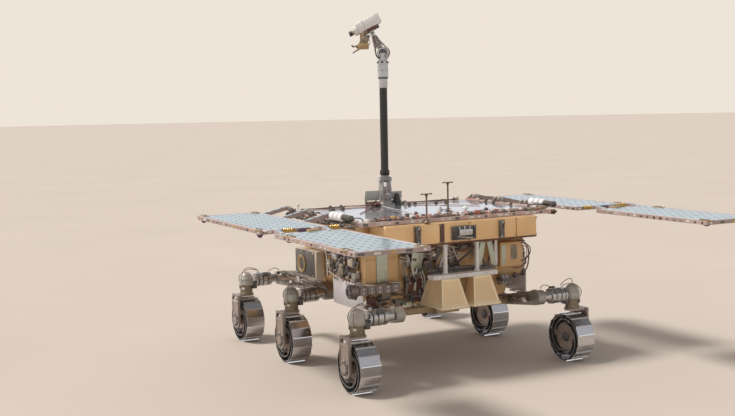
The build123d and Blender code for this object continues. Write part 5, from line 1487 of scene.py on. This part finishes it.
# The aerials and sensor caps on the deck: thin whips with a cross bar in dull bronze, each in a
# round foot, and white domed caps that are screwed down beside them.
bronze = finish("bronze_paint", (0.20, 0.135, 0.09), (0.145, 0.10, 0.07), 0.5, 0.3, 20.0, dust=0.2)
cap_white = finish("cap_white", (0.72, 0.78, 0.78), (0.64, 0.71, 0.72), 0.35, dust=0.1)
coat(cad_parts["deck_aerials"], bronze)
coat(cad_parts["deck_domes"], cap_white)
parts = []
for station, y, base, height in ((-0.440, -0.115, top, 1.045), (-0.768, 0.230, 0.860, 1.015)):
    parts += [
        turned(bronze, [(0.016, 0), (0.017, 0.003), (0.012, 0.009), (0.0065, 0.018), (0.0052, 0.030)],
               at(station, y, base), UP, 24),
        turned(dark_steel, [(0.006, -0.010), (0.0085, -0.004), (0.0085, 0.001), (0.006, 0.0015)],
               at(station, y, height), UP, 20),
    ]
    for side in (1, -1):
        parts += [
            turned(bronze, [(0.0040, 0), (0.0048, 0.001), (0.0048, 0.004), (0.003, 0.005)],
                   at(station, y + side * 0.030, height + 0.003), (0, side, 0), 12),
            bolt(at(station + side * 0.011, y, base + 0.004), UP, 0.002, 0.002),
        ]
    parts.append(cable([at(station + 0.010, y, base + 0.006), at(station + 0.030, y + 0.010, base + 0.008),
                        at(station + 0.045, y + 0.02, base + 0.001)], 0.002, dark_cable))
for station, y in ((-0.370, -0.100), (-0.360, -0.290)):
    parts.append(turned(white, [(0.019, 0), (0.019, 0.0022), (0.016, 0.003)], at(station, y, top), UP, 32))
    parts += bolt_ring(at(station, y, top + 0.002), UP, 0.0172, 6, 0.0012)
fit(join(parts, "deck_fittings"), "chassis", "grey_metal")

# The drill box across the front: a long housing in the same stitched blanket, held on its
# positioner, with the drill's end caps and the harness that follows the positioner's arm.
drill_low, drill_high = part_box("drill_box")
fit(wrinkled("drill_blanket", "drill_box", 0.009, 0.005, 0.16, gold_foil), "chassis", "blanket_gold",
    "drill_box")
front_x = drill_high.x
parts = []
for y in (drill_low.y + 0.05, (drill_low.y + drill_high.y) / 2, drill_high.y - 0.05):
    parts.append(slab(grey_metal, (0.010, 0.034, drill_high.z - drill_low.z - 0.012),
                      (front_x - 0.001, y, (drill_low.z + drill_high.z) / 2), 0.002))
    for z in (drill_low.z + 0.025, drill_high.z - 0.025):
        parts.append(bolt((front_x + 0.003, y, z), AHEAD, 0.005))
for y, out in ((drill_low.y, -1), (drill_high.y, 1)):
    centre = ((drill_low.x + drill_high.x) / 2, y - out * 0.004, (drill_low.z + drill_high.z) / 2)
    parts.append(turned(grey_metal, [(0.060, 0), (0.062, 0.003), (0.062, 0.009), (0.050, 0.012),
                                     (0.020, 0.013)], centre, (0, out, 0), 40))
    parts += bolt_ring((centre[0], y + out * 0.005, centre[2]), (0, out, 0), 0.055, 8)
fit(join(parts, "drill_trim"), "chassis", "grey_metal")
paths = []
for row in range(4):
    paths.append([(drill_high.x - 0.010 - 0.030 * row, drill_low.y + 0.05 + 0.09 * step,
                   drill_high.z + 0.003 + 0.002 * sin(step * 1.4 + row)) for step in range(9)])
fit(harness(paths, "drill_harness", 82, 2, 0.004, 0.0028, [brown_cable, dark_cable, pink_cable, white_cable],
            0.4), "chassis", "dark_metal")

# The underside of the tub: a bare panel over the blanket, screwed on at its rim, with the two
# round plugs that close its lifting points.
tub_floor = 0.375
parts = [slab(grey_metal, (0.50, 0.56, 0.003), at(-0.10, 0, tub_floor + 0.0006), 0.001)]
for x in (-0.34, -0.22, -0.10, 0.02, 0.14):
    for y in (-0.27, 0.27):
        parts.append(bolt(at(x, y, tub_floor - 0.0006), DOWN, 0.004, 0.0025))
for y in (-0.12, 0.12):
    parts.append(turned(dark_steel, [(0.030, 0), (0.030, 0.002), (0.026, 0.003), (0.010, 0.003)],
                        at(-0.10, y, tub_floor - 0.0006), DOWN, 32))
fit(join(parts, "tub_floor_panel"), "chassis", "grey_metal")
